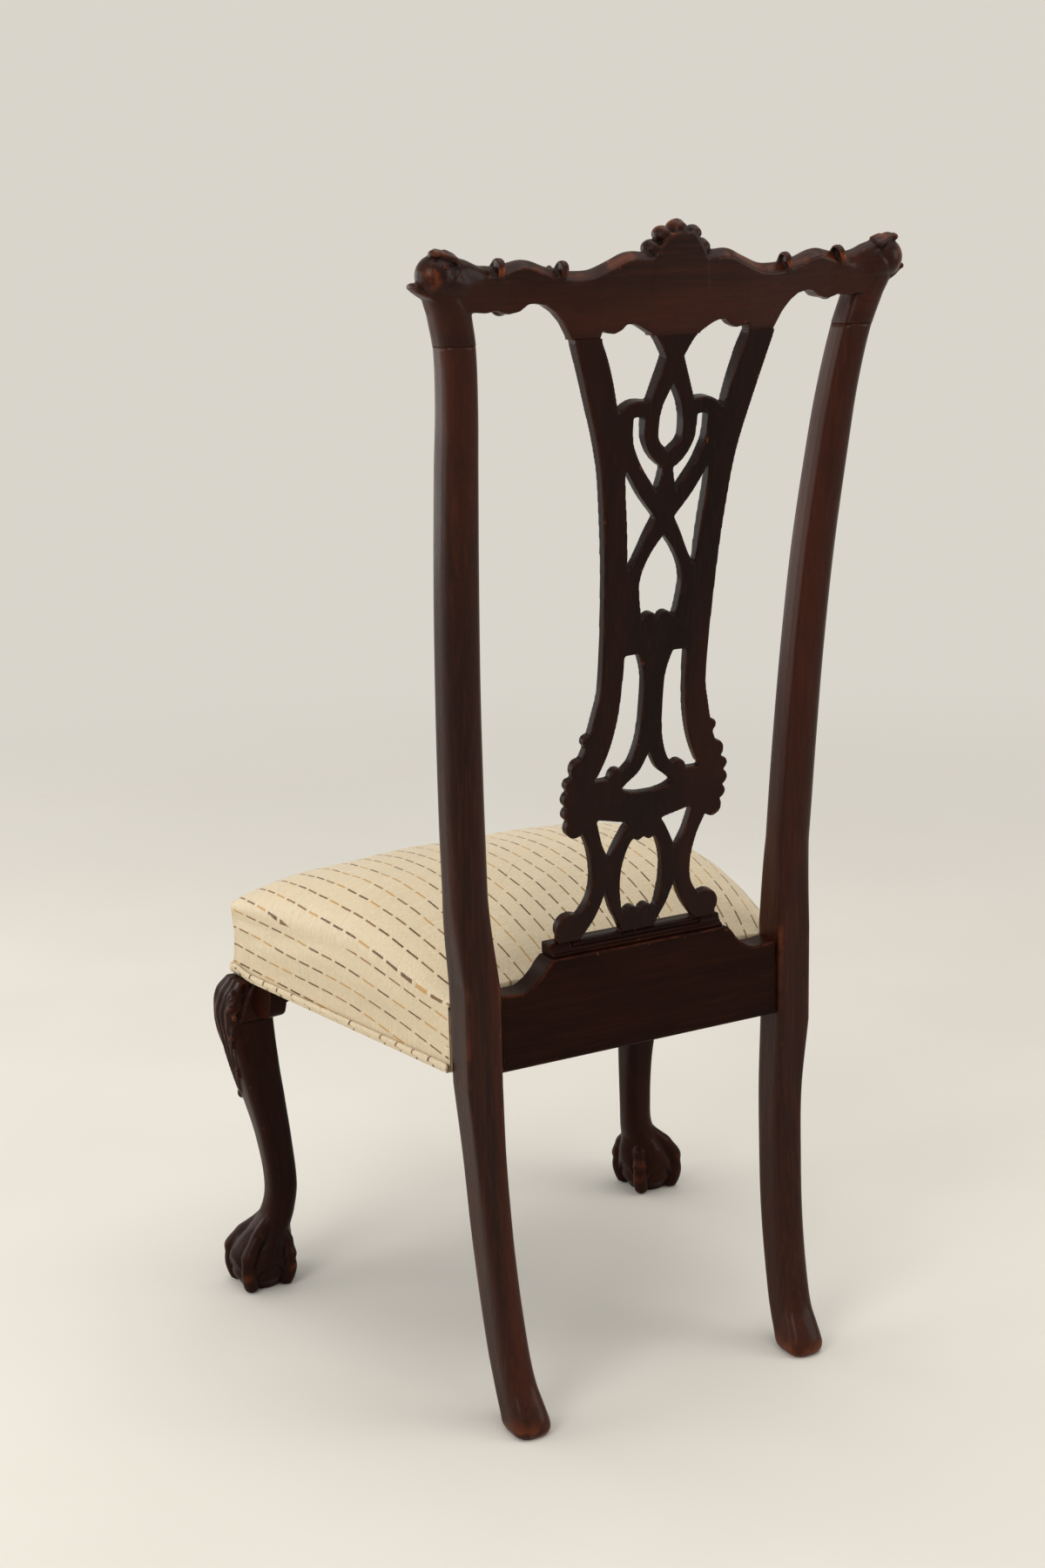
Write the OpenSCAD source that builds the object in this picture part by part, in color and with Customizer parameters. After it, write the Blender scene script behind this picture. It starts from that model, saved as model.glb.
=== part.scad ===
// Chippendale side chair with a pierced splat, claw and ball front legs and an upholstered seat.
// The chair faces -Y, its back leans towards +Y, and X = 0 is the plane of symmetry.
// The origin is under the middle of the chair, on the floor.

/* [Overall] */
// Height of the carved shell above the floor
back_height = 1101; // [1040:1:1160]
// Depth from the knees of the front legs to the back of the crest rail
chair_depth = 515; // [490:1:545]
// Lean of the back from upright, in degrees
back_lean = 8; // [7:0.5:9]

/* [Seat frame] */
// Height of the seat frame's underside above the floor
rail_bottom = 340; // [325:1:355]
// Height of the front and side rails
rail_height = 60; // [56:1:64]
// Thickness of the front and side rails
rail_thickness = 24; // [20:1:26]
// Width of the covered seat at the front
seat_front_width = 498; // [470:1:530]
// Width of the covered seat where it meets the rear posts
seat_rear_width = 380; // [370:1:400]
// Height of the rear rail under the shoe
rear_rail_height = 98; // [94:1:104]
// Thickness of the rear rail
rear_rail_thickness = 28; // [24:1:32]
// Height of the moulded shoe that holds the splat
shoe_height = 11.5; // [10:0.5:14]

/* [Back] */
// Width across the splat at its upper joint
splat_width = 200; // [180:1:210]
// Thickness of the splat at its upper joint, from where it thins towards the shoe
splat_thickness = 15; // [13:0.5:16]
// Width of the crest rail over both ears
crest_width = 488; // [476:1:500]
// Height of the crest rail from the splat joint to the top of the shell
crest_height = 96.5; // [88:0.5:104]
// Thickness of the crest rail
crest_thickness = 22; // [20:0.5:26]
// Width of a rear post at the seat
post_width = 36; // [32:1:38]
// Depth of a rear post at the seat
post_depth = 38; // [34:1:42]

/* [Front legs] */
// Width of a front leg at the knee
knee_width = 52; // [46:1:56]
// Diameter of the ball in the foot
ball_diameter = 66; // [58:1:72]
// Height of a knee block
knee_block_height = 37; // [32:1:44]
// Length of a knee block along its rail
knee_block_length = 32; // [28:1:50]

/* [Upholstery] */
// Height of the seat's side wall at its middle
seat_edge_height = 79; // [74:1:85]
// Rise of the crown above the side wall
seat_crown = 56; // [45:1:66]
// Thickness of the seat cover
cover_thickness = 1.2; // [0.8:0.1:1.6]
// Height of the welt along the lower edge
welt_height = 9; // [7:0.5:11]
// Width of a webbing strip
webbing_width = 50; // [40:1:54]

/* [Hidden] */
$fn = 48;

// Named clearances, overruns and skins
joint_gap = 0.2;
glue_gap = 0.1;
soft_gap = 0.3;
overrun = 2;
draw_in = 1.6;
wood = "#4a1d12";
cloth = "#d8c9a3";

// Levels and planes that the pieces share
half_depth = chair_depth / 2;
rail_top = rail_bottom + rail_height;
rear_rail_lift = 3;
rear_rail_bottom = rail_bottom + rear_rail_lift;
rear_rail_top = rear_rail_bottom + rear_rail_height;
shoe_top = rear_rail_top + shoe_height;
crest_joint = back_height - crest_height;
splat_height = crest_joint - shoe_top;
rail_recess = 9;
post_proud = 5;
rear_rail_back = back_y(rear_rail_top) + rail_recess;
rear_rail_front = rear_rail_back - rear_rail_thickness;
post_back = rear_rail_back + post_proud;
post_front = post_back - post_depth;
knee_proud = 11.5;
seat_front = -half_depth + knee_proud;
seat_rear = post_front - soft_gap;
seat_run = seat_rear - seat_front;
seat_corner_radius = 10;
post_axis = (seat_rear_width - post_width) / 2 - cover_thickness;
rail_inset = cover_thickness + draw_in + soft_gap;

// Depth of the sloping back plane at a height
function back_y(z) = half_depth - tan(back_lean) * (back_height - z);
// Half width of the covered seat at a depth
function side_x(y) =
    (seat_rear_width + (seat_front_width - seat_rear_width) * (seat_rear - y) / seat_run) / 2;
// Angle of a side rail to the Y axis
side_angle = atan((seat_front_width - seat_rear_width) / 2 / seat_run);

// Smooth tables: a row holds a share of the way and the values there
function row_before(rows, t) = max([for (i = [0 : len(rows) - 2]) if (i == 0 || rows[i][0] <= t) i]);
function row_slope(rows, i, k) =
    let (a = rows[max(i - 1, 0)], b = rows[min(i + 1, len(rows) - 1)])
    (b[k] - a[k]) / (b[0] - a[0]);
function smooth_at(rows, t, k) =
    let (i = row_before(rows, t), a = rows[i], b = rows[i + 1], h = b[0] - a[0], u = (t - a[0]) / h)
    a[k] * (1 + 2 * u) * pow(1 - u, 2) + b[k] * u * u * (3 - 2 * u)
    + h * row_slope(rows, i, k) * u * pow(1 - u, 2) - h * row_slope(rows, i + 1, k) * u * u * (1 - u);

// A stroke is a curve through a few points, with the last one left to the next stroke
stroke_steps = 5;
function stroke_point(p, i, u) =
    let (a = p[max(i - 1, 0)], b = p[i], c = p[i + 1], d = p[min(i + 2, len(p) - 1)])
    (2 * b + (c - a) * u + (2 * a - 5 * b + 4 * c - d) * u * u + (3 * b - a - 3 * c + d) * u * u * u) / 2;
function stroke(p) = len(p) == 2 ? [p[0]]
    : [for (i = [0 : len(p) - 2]) for (k = [0 : stroke_steps - 1]) stroke_point(p, i, k / stroke_steps)];
function strokes(list) = [for (p = list) each stroke(p)];
function scaled(points, w, h) = [for (p = points) [p[0] * w, p[1] * h]];
function reversed(list) = [for (i = [len(list) - 1 : -1 : 0]) list[i]];
function mirrored(points) = [for (i = [len(points) - 1 : -1 : 0]) [-points[i][0], points[i][1]]];

// A loft joins rings of equal count, with a tip point at each end
module loft(rings, first_tip, last_tip) {
    n = len(rings[0]);
    m = len(rings);
    points = concat([for (r = rings) each r], [first_tip, last_tip]);
    sides = [for (j = [0 : m - 2]) for (i = [0 : n - 1])
        let (a = j * n + i, b = j * n + (i + 1) % n) each [[a, a + n, b], [b, a + n, b + n]]];
    starts = [for (i = [0 : n - 1]) [m * n, i, (i + 1) % n]];
    ends = [for (i = [0 : n - 1]) [m * n + 1, (m - 1) * n + (i + 1) % n, (m - 1) * n + i]];
    polyhedron(points, concat(starts, sides, ends));
}
function middle(ring) = [for (k = [0 : 2]) let (v = [for (p = ring) p[k]]) (min(v) + max(v)) / 2];

// Reach of a rounded square of unit half width at an angle; a higher power is squarer
function square_reach(a, power) = pow(pow(abs(cos(a)), power) + pow(abs(sin(a)), power), -1 / power);

module left_right(side) {
    if (side > 0) children();
    else mirror([1, 0, 0]) children();
}

// Rear posts
// Rows below the seat: share of the height, move in towards the foot, rake back, width, depth
foot_inset = 14.8;
foot_rake = 53;
post_lower_shares = [[0, 1.06, 1.01, 1.16, 1.06], [0.04, 1.03, 0.948, 1.06, 1.14],
    [0.08, 0.99, 0.812, 0.98, 1.165], [0.13, 0.936, 0.644, 0.90, 1.11], [0.20, 0.851, 0.507, 0.866, 1.10],
    [0.30, 0.771, 0.367, 0.84, 1.12], [0.42, 0.669, 0.235, 0.815, 1.14], [0.56, 0.529, 0.124, 0.825, 1.09],
    [0.78, 0.327, 0.01, 0.87, 0.99], [1, 0, 0, 1, 1]];
// Rows above the seat: share of the height, move out, rake back, width, depth
post_splay = 36.2;
post_rake = 66.6;
post_upper_shares = [[0, 0, 0, 1, 1], [0.105, 0.116, -0.01, 1.02, 0.97], [0.205, 0.19, 0.03, 1.03, 0.98],
    [0.305, 0.255, 0.083, 1.02, 0.98], [0.455, 0.35, 0.19, 1.0, 0.96], [0.62, 0.46, 0.36, 0.98, 0.95],
    [0.785, 0.60, 0.60, 0.94, 0.91], [0.867, 0.68, 0.743, 0.90, 0.88], [0.95, 0.84, 0.904, 0.89, 0.85],
    [1, 1.05, 1, 0.93, 0.84]];
post_square_below = 8;
post_square_above = 26;
post_rise = 26;
post_zone_low = rail_bottom - post_square_below;
post_zone_high = rail_top + post_square_above;
post_top = crest_joint + post_rise;
post_points = 24;
post_lower_rings = 14;
post_lower_ring_bend = 1.5;
post_upper_rings = 24;
shoulder_rings = 6;
shoulder_run_on = 2;
post_joint_share = (crest_joint - post_zone_high) / (post_top - post_zone_high);
shoulder_start_share = post_joint_share + glue_gap / (post_top - post_zone_high);
post_middle_y = (post_front + post_back) / 2;
post_tenon = 15;
post_tenon_length = 22;
function post_ring(x, y, z, w, d, front_power, back_power) = [for (i = [0 : post_points - 1])
    let (a = i * 360 / post_points, r = square_reach(a, a < 180 ? back_power : front_power))
    [x + w / 2 * r * cos(a), y + d / 2 * r * sin(a), z]];
// Squareness of the section: square at the seat, softer at the foot and with a rounded back above
post_square_power = 14;
post_round_power = 2.3;
post_front_power = 5;
foot_front_power = 7;
foot_back_power = 2.8;
foot_power_bend = 4;
post_lower_depth_share = 0.98;
post_easing_share = 0.143;
function post_lower(t) = let (q = function(k) smooth_at(post_lower_shares, t, k))
    post_ring(post_axis - foot_inset * q(1), post_middle_y + foot_rake * q(2), post_zone_low * t,
        post_width * q(3), post_depth * q(4) * post_lower_depth_share, foot_front_power,
        foot_back_power + (post_square_power - foot_back_power) * pow(t, foot_power_bend));
function post_upper(t) =
    let (q = function(k) smooth_at(post_upper_shares, t, k), s = min(1, t / post_easing_share))
    post_ring(post_axis + post_splay * q(1), post_middle_y + post_rake * q(2),
        post_zone_high + (post_top - post_zone_high) * t, post_width * q(3), post_depth * q(4),
        post_square_power - s * (post_square_power - post_front_power),
        post_square_power - s * (post_square_power - post_round_power));
function post_rings() = concat(
    [for (i = [0 : post_lower_rings]) post_lower(pow(i / post_lower_rings, post_lower_ring_bend))],
    [for (i = [0 : post_upper_rings]) post_upper(post_joint_share * i / post_upper_rings)]);
function post_joint_place() = middle(post_upper(post_joint_share));

module post_crown_tenon(grow) {
    c = post_joint_place();
    translate([c[0] - post_tenon / 2 - grow, c[1] - post_tenon / 2 - grow, c[2] - overrun])
        cube([post_tenon + 2 * grow, post_tenon + 2 * grow, post_tenon_length + overrun + grow]);
}
module rear_post() {
    rings = post_rings();
    color(wood) difference() {
        union() {
            loft(rings, middle(rings[0]), post_joint_place());
            post_crown_tenon(0);
        }
        rear_rail_tenon(joint_gap);
        side_rail_rear_tenon(joint_gap);
    }
}
module rear_post_left() left_right(1) rear_post();
module rear_post_right() left_right(-1) rear_post();

// Rear rail
rear_tenon_length = 13;
tenon_thickness = 9;
tenon_shoulder = 9;
post_inner = post_axis - post_width / 2;
rear_rail_end = post_inner - glue_gap;
rear_rail_ear = 73;
rail_step_half = 95;
// Top edge outside the shoe: share of the way to the post, share of the rail's height
rail_top_shares = [[0, 1], [0.09, 0.955], [0.23, 0.85], [0.43, 0.76], [0.62, 0.735], [1, 0.755]];
module rear_rail_tenon(grow) {
    z0 = rear_rail_bottom + tenon_shoulder;
    y0 = (rear_rail_front + rear_rail_back - tenon_thickness) / 2;
    translate([rear_rail_end - overrun, y0 - grow, z0 - grow])
        cube([rear_tenon_length + overrun + grow, tenon_thickness + 2 * grow,
            rear_rail_ear - 2 * tenon_shoulder + 2 * grow]);
}
module rear_rail() {
    run = rear_rail_end - rail_step_half;
    edge = [for (p = stroke(rail_top_shares)) [rail_step_half + p[0] * run, p[1] * rear_rail_height]];
    end_height = rail_top_shares[len(rail_top_shares) - 1][1] * rear_rail_height;
    half = concat([[rear_rail_end, 0], [rear_rail_end, end_height]], reversed(edge));
    outline = concat(half, mirrored(half));
    color(wood) difference() {
        union() {
            translate([0, rear_rail_back, rear_rail_bottom]) rotate([90, 0, 0])
                linear_extrude(rear_rail_thickness) polygon(outline);
            for (side = [1, -1]) left_right(side) rear_rail_tenon(0);
        }
        corner_screw_holes();
    }
}

// Shoe under the splat, a moulding with a hollow back
shoe_half = 93;
shoe_end_bump = 4.5;
shoe_bump_share = 0.7;
shoe_lip = 4;
shoe_back = back_y(rear_rail_top) + shoe_lip;
shoe_front = rear_rail_front + glue_gap;
// Section of the shoe: share of its depth, share of its height
shoe_shares = [[[0, 0], [0, 1]], [[0, 1], [0.72, 1]], [[0.72, 1], [0.76, 0.62], [0.86, 0.32], [1, 0.22]],
    [[1, 0.22], [1, 0]], [[1, 0], [0, 0]]];
module splat_shoe() {
    depth = shoe_back - shoe_front;
    color(wood) difference() {
        union() {
            translate([-shoe_half, shoe_front, rear_rail_top]) rotate([90, 0, 90])
                linear_extrude(2 * shoe_half) polygon(scaled(strokes(shoe_shares), depth, shoe_height));
            for (side = [1, -1]) left_right(side)
                translate([shoe_half - shoe_end_bump, shoe_front, rear_rail_top + shoe_end_bump])
                    rotate([-90, 0, 0]) cylinder(depth * shoe_bump_share, shoe_end_bump, shoe_end_bump);
        }
        splat_foot(joint_gap);
    }
}

// Pierced splat: shares are of half its width and of its height above the shoe
splat_half = splat_width / 2;
splat_foot_half = splat_half * 0.70;
splat_tenon = 8;
splat_tenon_thickness = 6;
splat_tenon_inset = 2;
// Thickness up the splat: share of the height, share of the thickness at the top
splat_taper_shares = [[-0.02, 0.66], [0.55, 0.68], [0.80, 0.80], [0.92, 0.93], [1.02, 1]];
splat_edge_shares = [
    [[0.86, -0.01], [0.86, 0.01]],
    [[0.86, 0.01], [0.82, 0.02], [0.66, 0.045]],
    [[0.66, 0.045], [0.56, 0.073], [0.535, 0.112], [0.58, 0.156], [0.66, 0.190]],
    [[0.66, 0.190], [0.78, 0.210], [0.79, 0.284], [0.68, 0.338], [0.64, 0.364]],
    [[0.64, 0.364], [0.60, 0.394], [0.56, 0.430], [0.555, 0.493], [0.588, 0.630], [0.63, 0.720],
        [0.70, 0.811], [0.84, 0.901], [1.0, 0.992], [1.03, 1.01]],
    [[1.03, 1.01], [0, 1.01]]];
// Rounded leaf edges and scrolls: place and radius, the radius as a share of half the width
splat_lobe_shares = [[0.655, 0.350, 0.055], [0.72, 0.304, 0.095], [0.80, 0.278, 0.065],
    [0.80, 0.253, 0.078], [0.80, 0.228, 0.068], [0.74, 0.203, 0.098], [0.74, 0.025, 0.14],
    [0.455, 0.877, 0.07], [0.36, 0.882, 0.095], [0.26, 0.883, 0.06]];
upper_window_shares = [
    [[0.76, 1.02], [0.75, 1.0], [0.67, 0.965], [0.60, 0.925], [0.54, 0.880]],
    [[0.54, 0.880], [0.50, 0.889], [0.40, 0.899], [0.30, 0.900], [0.223, 0.898]],
    [[0.223, 0.898], [0.15, 0.935], [0.09, 0.966]],
    [[0.09, 0.966], [0.125, 0.977], [0.19, 0.994], [0.30, 1.008], [0.37, 1.02]],
    [[0.37, 1.02], [0.76, 1.02]]];
teardrop_shares = [[[0, 0.925], [0.06, 0.905], [0.10, 0.888], [0.124, 0.862], [0.11, 0.836], [0, 0.818]]];
crescent_shares = [
    [[0.265, 0.874], [0.385, 0.875]],
    [[0.385, 0.875], [0.375, 0.838], [0.33, 0.816], [0.26, 0.793], [0.175, 0.772], [0.10, 0.754]],
    [[0.10, 0.754], [0.07, 0.773], [0.05, 0.792]],
    [[0.05, 0.792], [0.095, 0.796], [0.165, 0.808], [0.22, 0.823], [0.26, 0.843], [0.265, 0.874]]];
long_triangle_shares = [
    [[0.435, 0.791], [0.417, 0.751], [0.385, 0.702], [0.36, 0.648], [0.35, 0.627]],
    [[0.35, 0.627], [0.275, 0.648], [0.225, 0.666], [0.17, 0.687], [0.095, 0.712]],
    [[0.095, 0.712], [0.205, 0.735], [0.29, 0.755], [0.41, 0.789]],
    [[0.41, 0.789], [0.435, 0.791]]];
almond_shares = [[[0, 0.684], [0.105, 0.660], [0.175, 0.637], [0.21, 0.619], [0.22, 0.599],
    [0.19, 0.561], [0.15, 0.546], [0, 0.546]]];
tall_window_shares = [
    [[0.18, 0.489], [0.33, 0.488]],
    [[0.33, 0.488], [0.333, 0.448], [0.36, 0.385], [0.43, 0.331], [0.53, 0.290], [0.565, 0.285]],
    [[0.565, 0.285], [0.565, 0.279]],
    [[0.565, 0.279], [0.40, 0.280], [0.30, 0.287], [0.203, 0.303]],
    [[0.203, 0.303], [0.158, 0.323], [0.12, 0.355], [0.105, 0.415], [0.12, 0.455], [0.18, 0.489]]];
small_window_shares = [[[0, 0.319], [0.095, 0.287], [0.21, 0.270], [0.27, 0.260]],
    [[0.27, 0.260], [0.20, 0.2535], [0.10, 0.2495], [0, 0.2485]]];
side_window_shares = [
    [[0.52, 0.211], [0.17, 0.197]],
    [[0.17, 0.197], [0.22, 0.186], [0.313, 0.155], [0.36, 0.135]],
    [[0.36, 0.135], [0.383, 0.144], [0.45, 0.168], [0.52, 0.211]]];
oval_shares = [[[0, 0.168], [0.11, 0.168], [0.192, 0.140], [0.229, 0.099], [0.202, 0.054],
    [0.16, 0.034], [0, 0.034]]];
foot_window_shares = [
    [[0.38, 0.082], [0.425, 0.057], [0.50, 0.030], [0.63, 0.0]],
    [[0.63, 0.0], [0.175, 0.0]],
    [[0.175, 0.0], [0.225, 0.019], [0.29, 0.039], [0.333, 0.058], [0.38, 0.082]]];
// Small lobes that stand into the windows
window_lobe_shares = [[0.08, 0.543, 0.075], [0.08, 0.031, 0.075], [0.33, 0.283, 0.075],
    [0.06, 0.173, 0.055]];

function splat_points(list) = scaled(strokes(list), splat_half, splat_height / cos(back_lean));
module splat_window(list) {
    half = splat_points(list);
    for (side = [1, -1]) scale([side, 1]) polygon(half);
}
module middle_window(list) {
    last = list[len(list) - 1];
    end = scaled([last[len(last) - 1]], splat_half, splat_height / cos(back_lean));
    half = splat_points(list);
    other = [for (p = mirrored(half)) if (p[0] < 0) p];
    polygon(concat(half, end, other));
}
module splat_circles(list) {
    for (side = [1, -1]) for (p = list)
        translate([side * p[0] * splat_half, p[1] * splat_height / cos(back_lean)])
            circle(p[2] * splat_half, $fn = 24);
}
module splat_face() {
    edge = splat_points(splat_edge_shares);
    difference() {
        union() {
            difference() {
                union() {
                    polygon(concat(edge, mirrored(edge)));
                    splat_circles(splat_lobe_shares);
                }
                splat_window(upper_window_shares);
                middle_window(almond_shares);
                middle_window(oval_shares);
                splat_window(tall_window_shares);
            }
            splat_circles(window_lobe_shares);
        }
        middle_window(teardrop_shares);
        splat_window(crescent_shares);
        splat_window(long_triangle_shares);
        middle_window(small_window_shares);
        splat_window(side_window_shares);
        splat_window(foot_window_shares);
    }
}
module on_back_plane(z) {
    translate([0, back_y(z), z]) rotate([90 - back_lean, 0, 0]) children();
}
module splat_foot(grow) {
    on_back_plane(shoe_top) translate([0, -splat_tenon / 2, splat_tenon_inset - grow])
        linear_extrude(splat_tenon_thickness + 2 * grow)
            square([2 * splat_foot_half + 2 * grow, splat_tenon + 2 * grow], center = true);
}
// Tenons at the top: share of half the width from the middle, width as a share of half the width
splat_head_shares = [[-0.88, 0.20], [0, 0.34], [0.88, 0.20]];
module splat_head(grow) {
    length = splat_tenon + overrun;
    on_back_plane(crest_joint) translate([0, 0, splat_tenon_inset - grow])
        linear_extrude(splat_tenon_thickness + 2 * grow)
            for (p = splat_head_shares)
                translate([p[0] * splat_half, splat_tenon / 2 - overrun / 2 + grow / 2])
                    square([p[1] * splat_half + 2 * grow, length + grow], center = true);
}
module splat_taper() {
    front = scaled(splat_taper_shares, splat_height / cos(back_lean), splat_thickness);
    n = len(front);
    on_back_plane(shoe_top) translate([-splat_width, 0, 0]) rotate([90, 0, 90])
        linear_extrude(2 * splat_width)
            polygon(concat([[front[n - 1][0], -overrun], [front[0][0], -overrun]], front));
}
module splat() {
    trim = splat_width + overrun;
    color(wood) union() {
        difference() {
            intersection() {
                on_back_plane(shoe_top) linear_extrude(splat_thickness) splat_face();
                splat_taper();
            }
            for (z = [shoe_top + glue_gap - splat_height, crest_joint - glue_gap])
                translate([-trim, -half_depth, z]) cube([2 * trim, chair_depth, splat_height]);
        }
        splat_foot(0);
        splat_head(0);
    }
}

// Crest rail: a loft of sections across its length
crest_half = crest_width / 2;
crest_steps = 56;
crest_points = 16;
// Squareness of the section above and below its middle
crest_power_shares = [[0, 4.5, 9], [0.80, 4.5, 9], [0.92, 2.4, 2.8], [1, 2, 2]];
// Lower edge: share of half the length, share of the height above the joint
crest_under_shares = [[0, 0], [0.093, 0], [0.122, 0.045], [0.150, 0.085], [0.175, 0.108], [0.205, 0.108],
    [0.224, 0.060], [0.252, 0.030], [0.285, 0.045], [0.303, 0.070], [0.308, 0], [0.416, 0],
    [0.451, 0.150], [0.484, 0.243], [0.520, 0.305], [0.561, 0.326], [0.587, 0.321], [0.620, 0.262],
    [0.659, 0.243], [0.690, 0.262], [0.703, 0.280], [0.748, 0.262], [0.790, 0.275], [0.905, 0.275],
    [0.928, 0.400], [0.965, 0.460], [0.985, 0.500], [1, 0.545]];
// Upper edge
crest_over_shares = [[0, 0.70], [0.150, 0.731], [0.211, 0.731], [0.276, 0.663], [0.346, 0.596],
    [0.407, 0.591], [0.445, 0.600], [0.455, 0.680], [0.480, 0.690], [0.492, 0.630], [0.520, 0.638],
    [0.569, 0.684], [0.610, 0.700], [0.650, 0.679], [0.680, 0.670], [0.690, 0.715], [0.715, 0.720],
    [0.728, 0.668], [0.790, 0.679], [0.840, 0.700], [0.880, 0.770], [0.915, 0.815], [0.950, 0.808],
    [0.960, 0.735], [0.975, 0.670], [0.990, 0.630], [1, 0.560]];
// Thickness and set-back from the back plane, as shares of the thickness
crest_thick_shares = [[0, 0.72], [0.12, 0.72], [0.22, 1], [0.40, 1.05], [0.66, 1.1], [0.80, 1.35],
    [0.92, 1.50], [0.96, 1.20], [0.985, 0.85], [1, 0.40]];
crest_back_shares = [[0, 0], [0.30, 0.05], [0.66, 0.32], [0.85, 0.26], [0.93, 0.14], [0.97, 0.25], [1, 0.70]];
// Thickness along the lower edge, as a share of the thickness above
crest_lip_shares = [[0, 0.95], [0.12, 0.95], [0.22, 0.70], [0.45, 0.70], [0.55, 0.85], [0.66, 1], [1, 1]];
// Lobes of the shell: place, top and radius as shares of the height
shell_lobe_shares = [[0.07, 1, 0.105], [0.18, 0.925, 0.095], [0.26, 0.815, 0.080]];
function shell_top(x) = max([for (p = shell_lobe_shares)
    let (d = abs(x) / crest_height - p[0])
    abs(d) > p[2] ? 0 : p[1] - p[2] + sqrt(p[2] * p[2] - d * d)]);
function crest_ring(x) =
    let (s = min(abs(x) / crest_half, 1), z0 = lookup(s, crest_under_shares),
        z1 = max(lookup(s, crest_over_shares), shell_top(x)),
        t = crest_thickness * lookup(s, crest_thick_shares),
        back = crest_thickness * lookup(s, crest_back_shares),
        mid = crest_joint + crest_height * (z0 + z1) / 2, half = crest_height * (z1 - z0) / 2)
    [for (i = [0 : crest_points - 1])
        let (a = i * 360 / crest_points,
            r = square_reach(a, smooth_at(crest_power_shares, s, a < 180 ? 1 : 2)),
            z = mid + half * r * sin(a), lip = lookup(s, crest_lip_shares),
            reach = t / 2 * (lip + (1 - lip) * (1 + r * sin(a)) / 2))
        [x, back_y(z) - back - reach + reach * r * cos(a), z]];
// A shoulder under each ear carries the line of the post up into the crest rail
function shoulder_ring(i) =
    post_upper(shoulder_start_share + (1 - shoulder_start_share) * i / shoulder_rings);
module post_shoulder() {
    top = shoulder_ring(shoulder_rings);
    below = shoulder_ring(shoulder_rings - 1);
    sunk = [for (i = [0 : post_points - 1]) top[i] + (top[i] - below[i]) * shoulder_run_on];
    rings = concat([for (i = [0 : shoulder_rings]) shoulder_ring(i)], [sunk]);
    loft(rings, middle(rings[0]), middle(sunk));
}
module crest_rail() {
    rings = [for (i = [-crest_steps : crest_steps]) crest_ring(crest_half * i / crest_steps)];
    tips = [for (side = [-1, 1]) middle(crest_ring(side * crest_half))];
    color(wood) difference() {
        union() {
            loft(rings, tips[0], tips[1]);
            for (side = [1, -1]) left_right(side) post_shoulder();
        }
        splat_head(joint_gap);
        for (side = [1, -1]) left_right(side) post_crown_tenon(joint_gap);
    }
}

// Front rail, side rails and their tenons
leg_block_inner = 47;
leg_block_rear = 41;
leg_block_front = seat_front + rail_inset;
block_x0 = seat_front_width / 2 - leg_block_inner;
block_x1 = side_x(seat_front + leg_block_rear) - rail_inset;
block_y1 = seat_front + leg_block_rear;
front_tenon_length = 18;
side_tenon_length = 15;
tenon_height = rail_height - 2 * tenon_shoulder;
module front_rail_tenon(grow) {
    y0 = leg_block_front + (rail_thickness - tenon_thickness) / 2;
    translate([block_x0 - glue_gap - overrun, y0 - grow, rail_bottom + tenon_shoulder - grow])
        cube([front_tenon_length + overrun + grow, tenon_thickness + 2 * grow, tenon_height + 2 * grow]);
}
module front_rail() {
    half = block_x0 - glue_gap;
    color(wood) difference() {
        union() {
            translate([-half, leg_block_front, rail_bottom]) cube([2 * half, rail_thickness, rail_height]);
            for (side = [1, -1]) left_right(side) front_rail_tenon(0);
        }
        cover_tack_holes();
        corner_screw_holes();
    }
}
// A side rail lies along the seat's slanting edge, from the leg block to the rear post
module side_plank(inset, y0, y1, thickness, z0, z1) {
    t = thickness / cos(side_angle);
    translate([0, 0, z0]) linear_extrude(z1 - z0)
        polygon([[side_x(y0) - inset, y0], [side_x(y1) - inset, y1], [side_x(y1) - inset - t, y1],
            [side_x(y0) - inset - t, y0]]);
}
module side_rail_tenon(y0, y1, grow) {
    inset = rail_inset + (rail_thickness - tenon_thickness) / 2;
    side_plank(inset - grow, y0 - grow, y1 + grow, tenon_thickness + 2 * grow,
        rail_bottom + tenon_shoulder - grow, rail_top - tenon_shoulder + grow);
}
module side_rail_front_tenon(grow) {
    side_rail_tenon(block_y1 - side_tenon_length, block_y1 + overrun, grow);
}
module side_rail_rear_tenon(grow) {
    side_rail_tenon(post_front - overrun, post_front + side_tenon_length, grow);
}
module side_rail() {
    color(wood) difference() {
        union() {
            side_plank(rail_inset, block_y1 + glue_gap, post_front - glue_gap, rail_thickness,
                rail_bottom, rail_top);
            side_rail_front_tenon(0);
            side_rail_rear_tenon(0);
        }
        cover_tack_holes();
        corner_screw_holes();
    }
}
module side_rail_left() left_right(1) side_rail();
module side_rail_right() left_right(-1) side_rail();

// Front legs: share of the height, move in along X and Y, half width, squareness
leg_shares = [[0, 0.12, 0.53, 0.62, 2], [0.10, 0.12, 0.53, 0.62, 2], [0.17, 0.26, 0.59, 0.46, 2.1],
    [0.24, 0.475, 0.69, 0.335, 2.5], [0.33, 0.55, 0.77, 0.31, 2.8], [0.48, 0.48, 0.69, 0.327, 3.4],
    [0.61, 0.35, 0.60, 0.378, 4], [0.73, 0.225, 0.50, 0.440, 5], [0.87, 0.15, 0.29, 0.50, 9],
    [0.955, 0.19, 0.32, 0.47, 12], [1, 0.28, 0.40, 0.37, 14]];
leg_points = 32;
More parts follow.
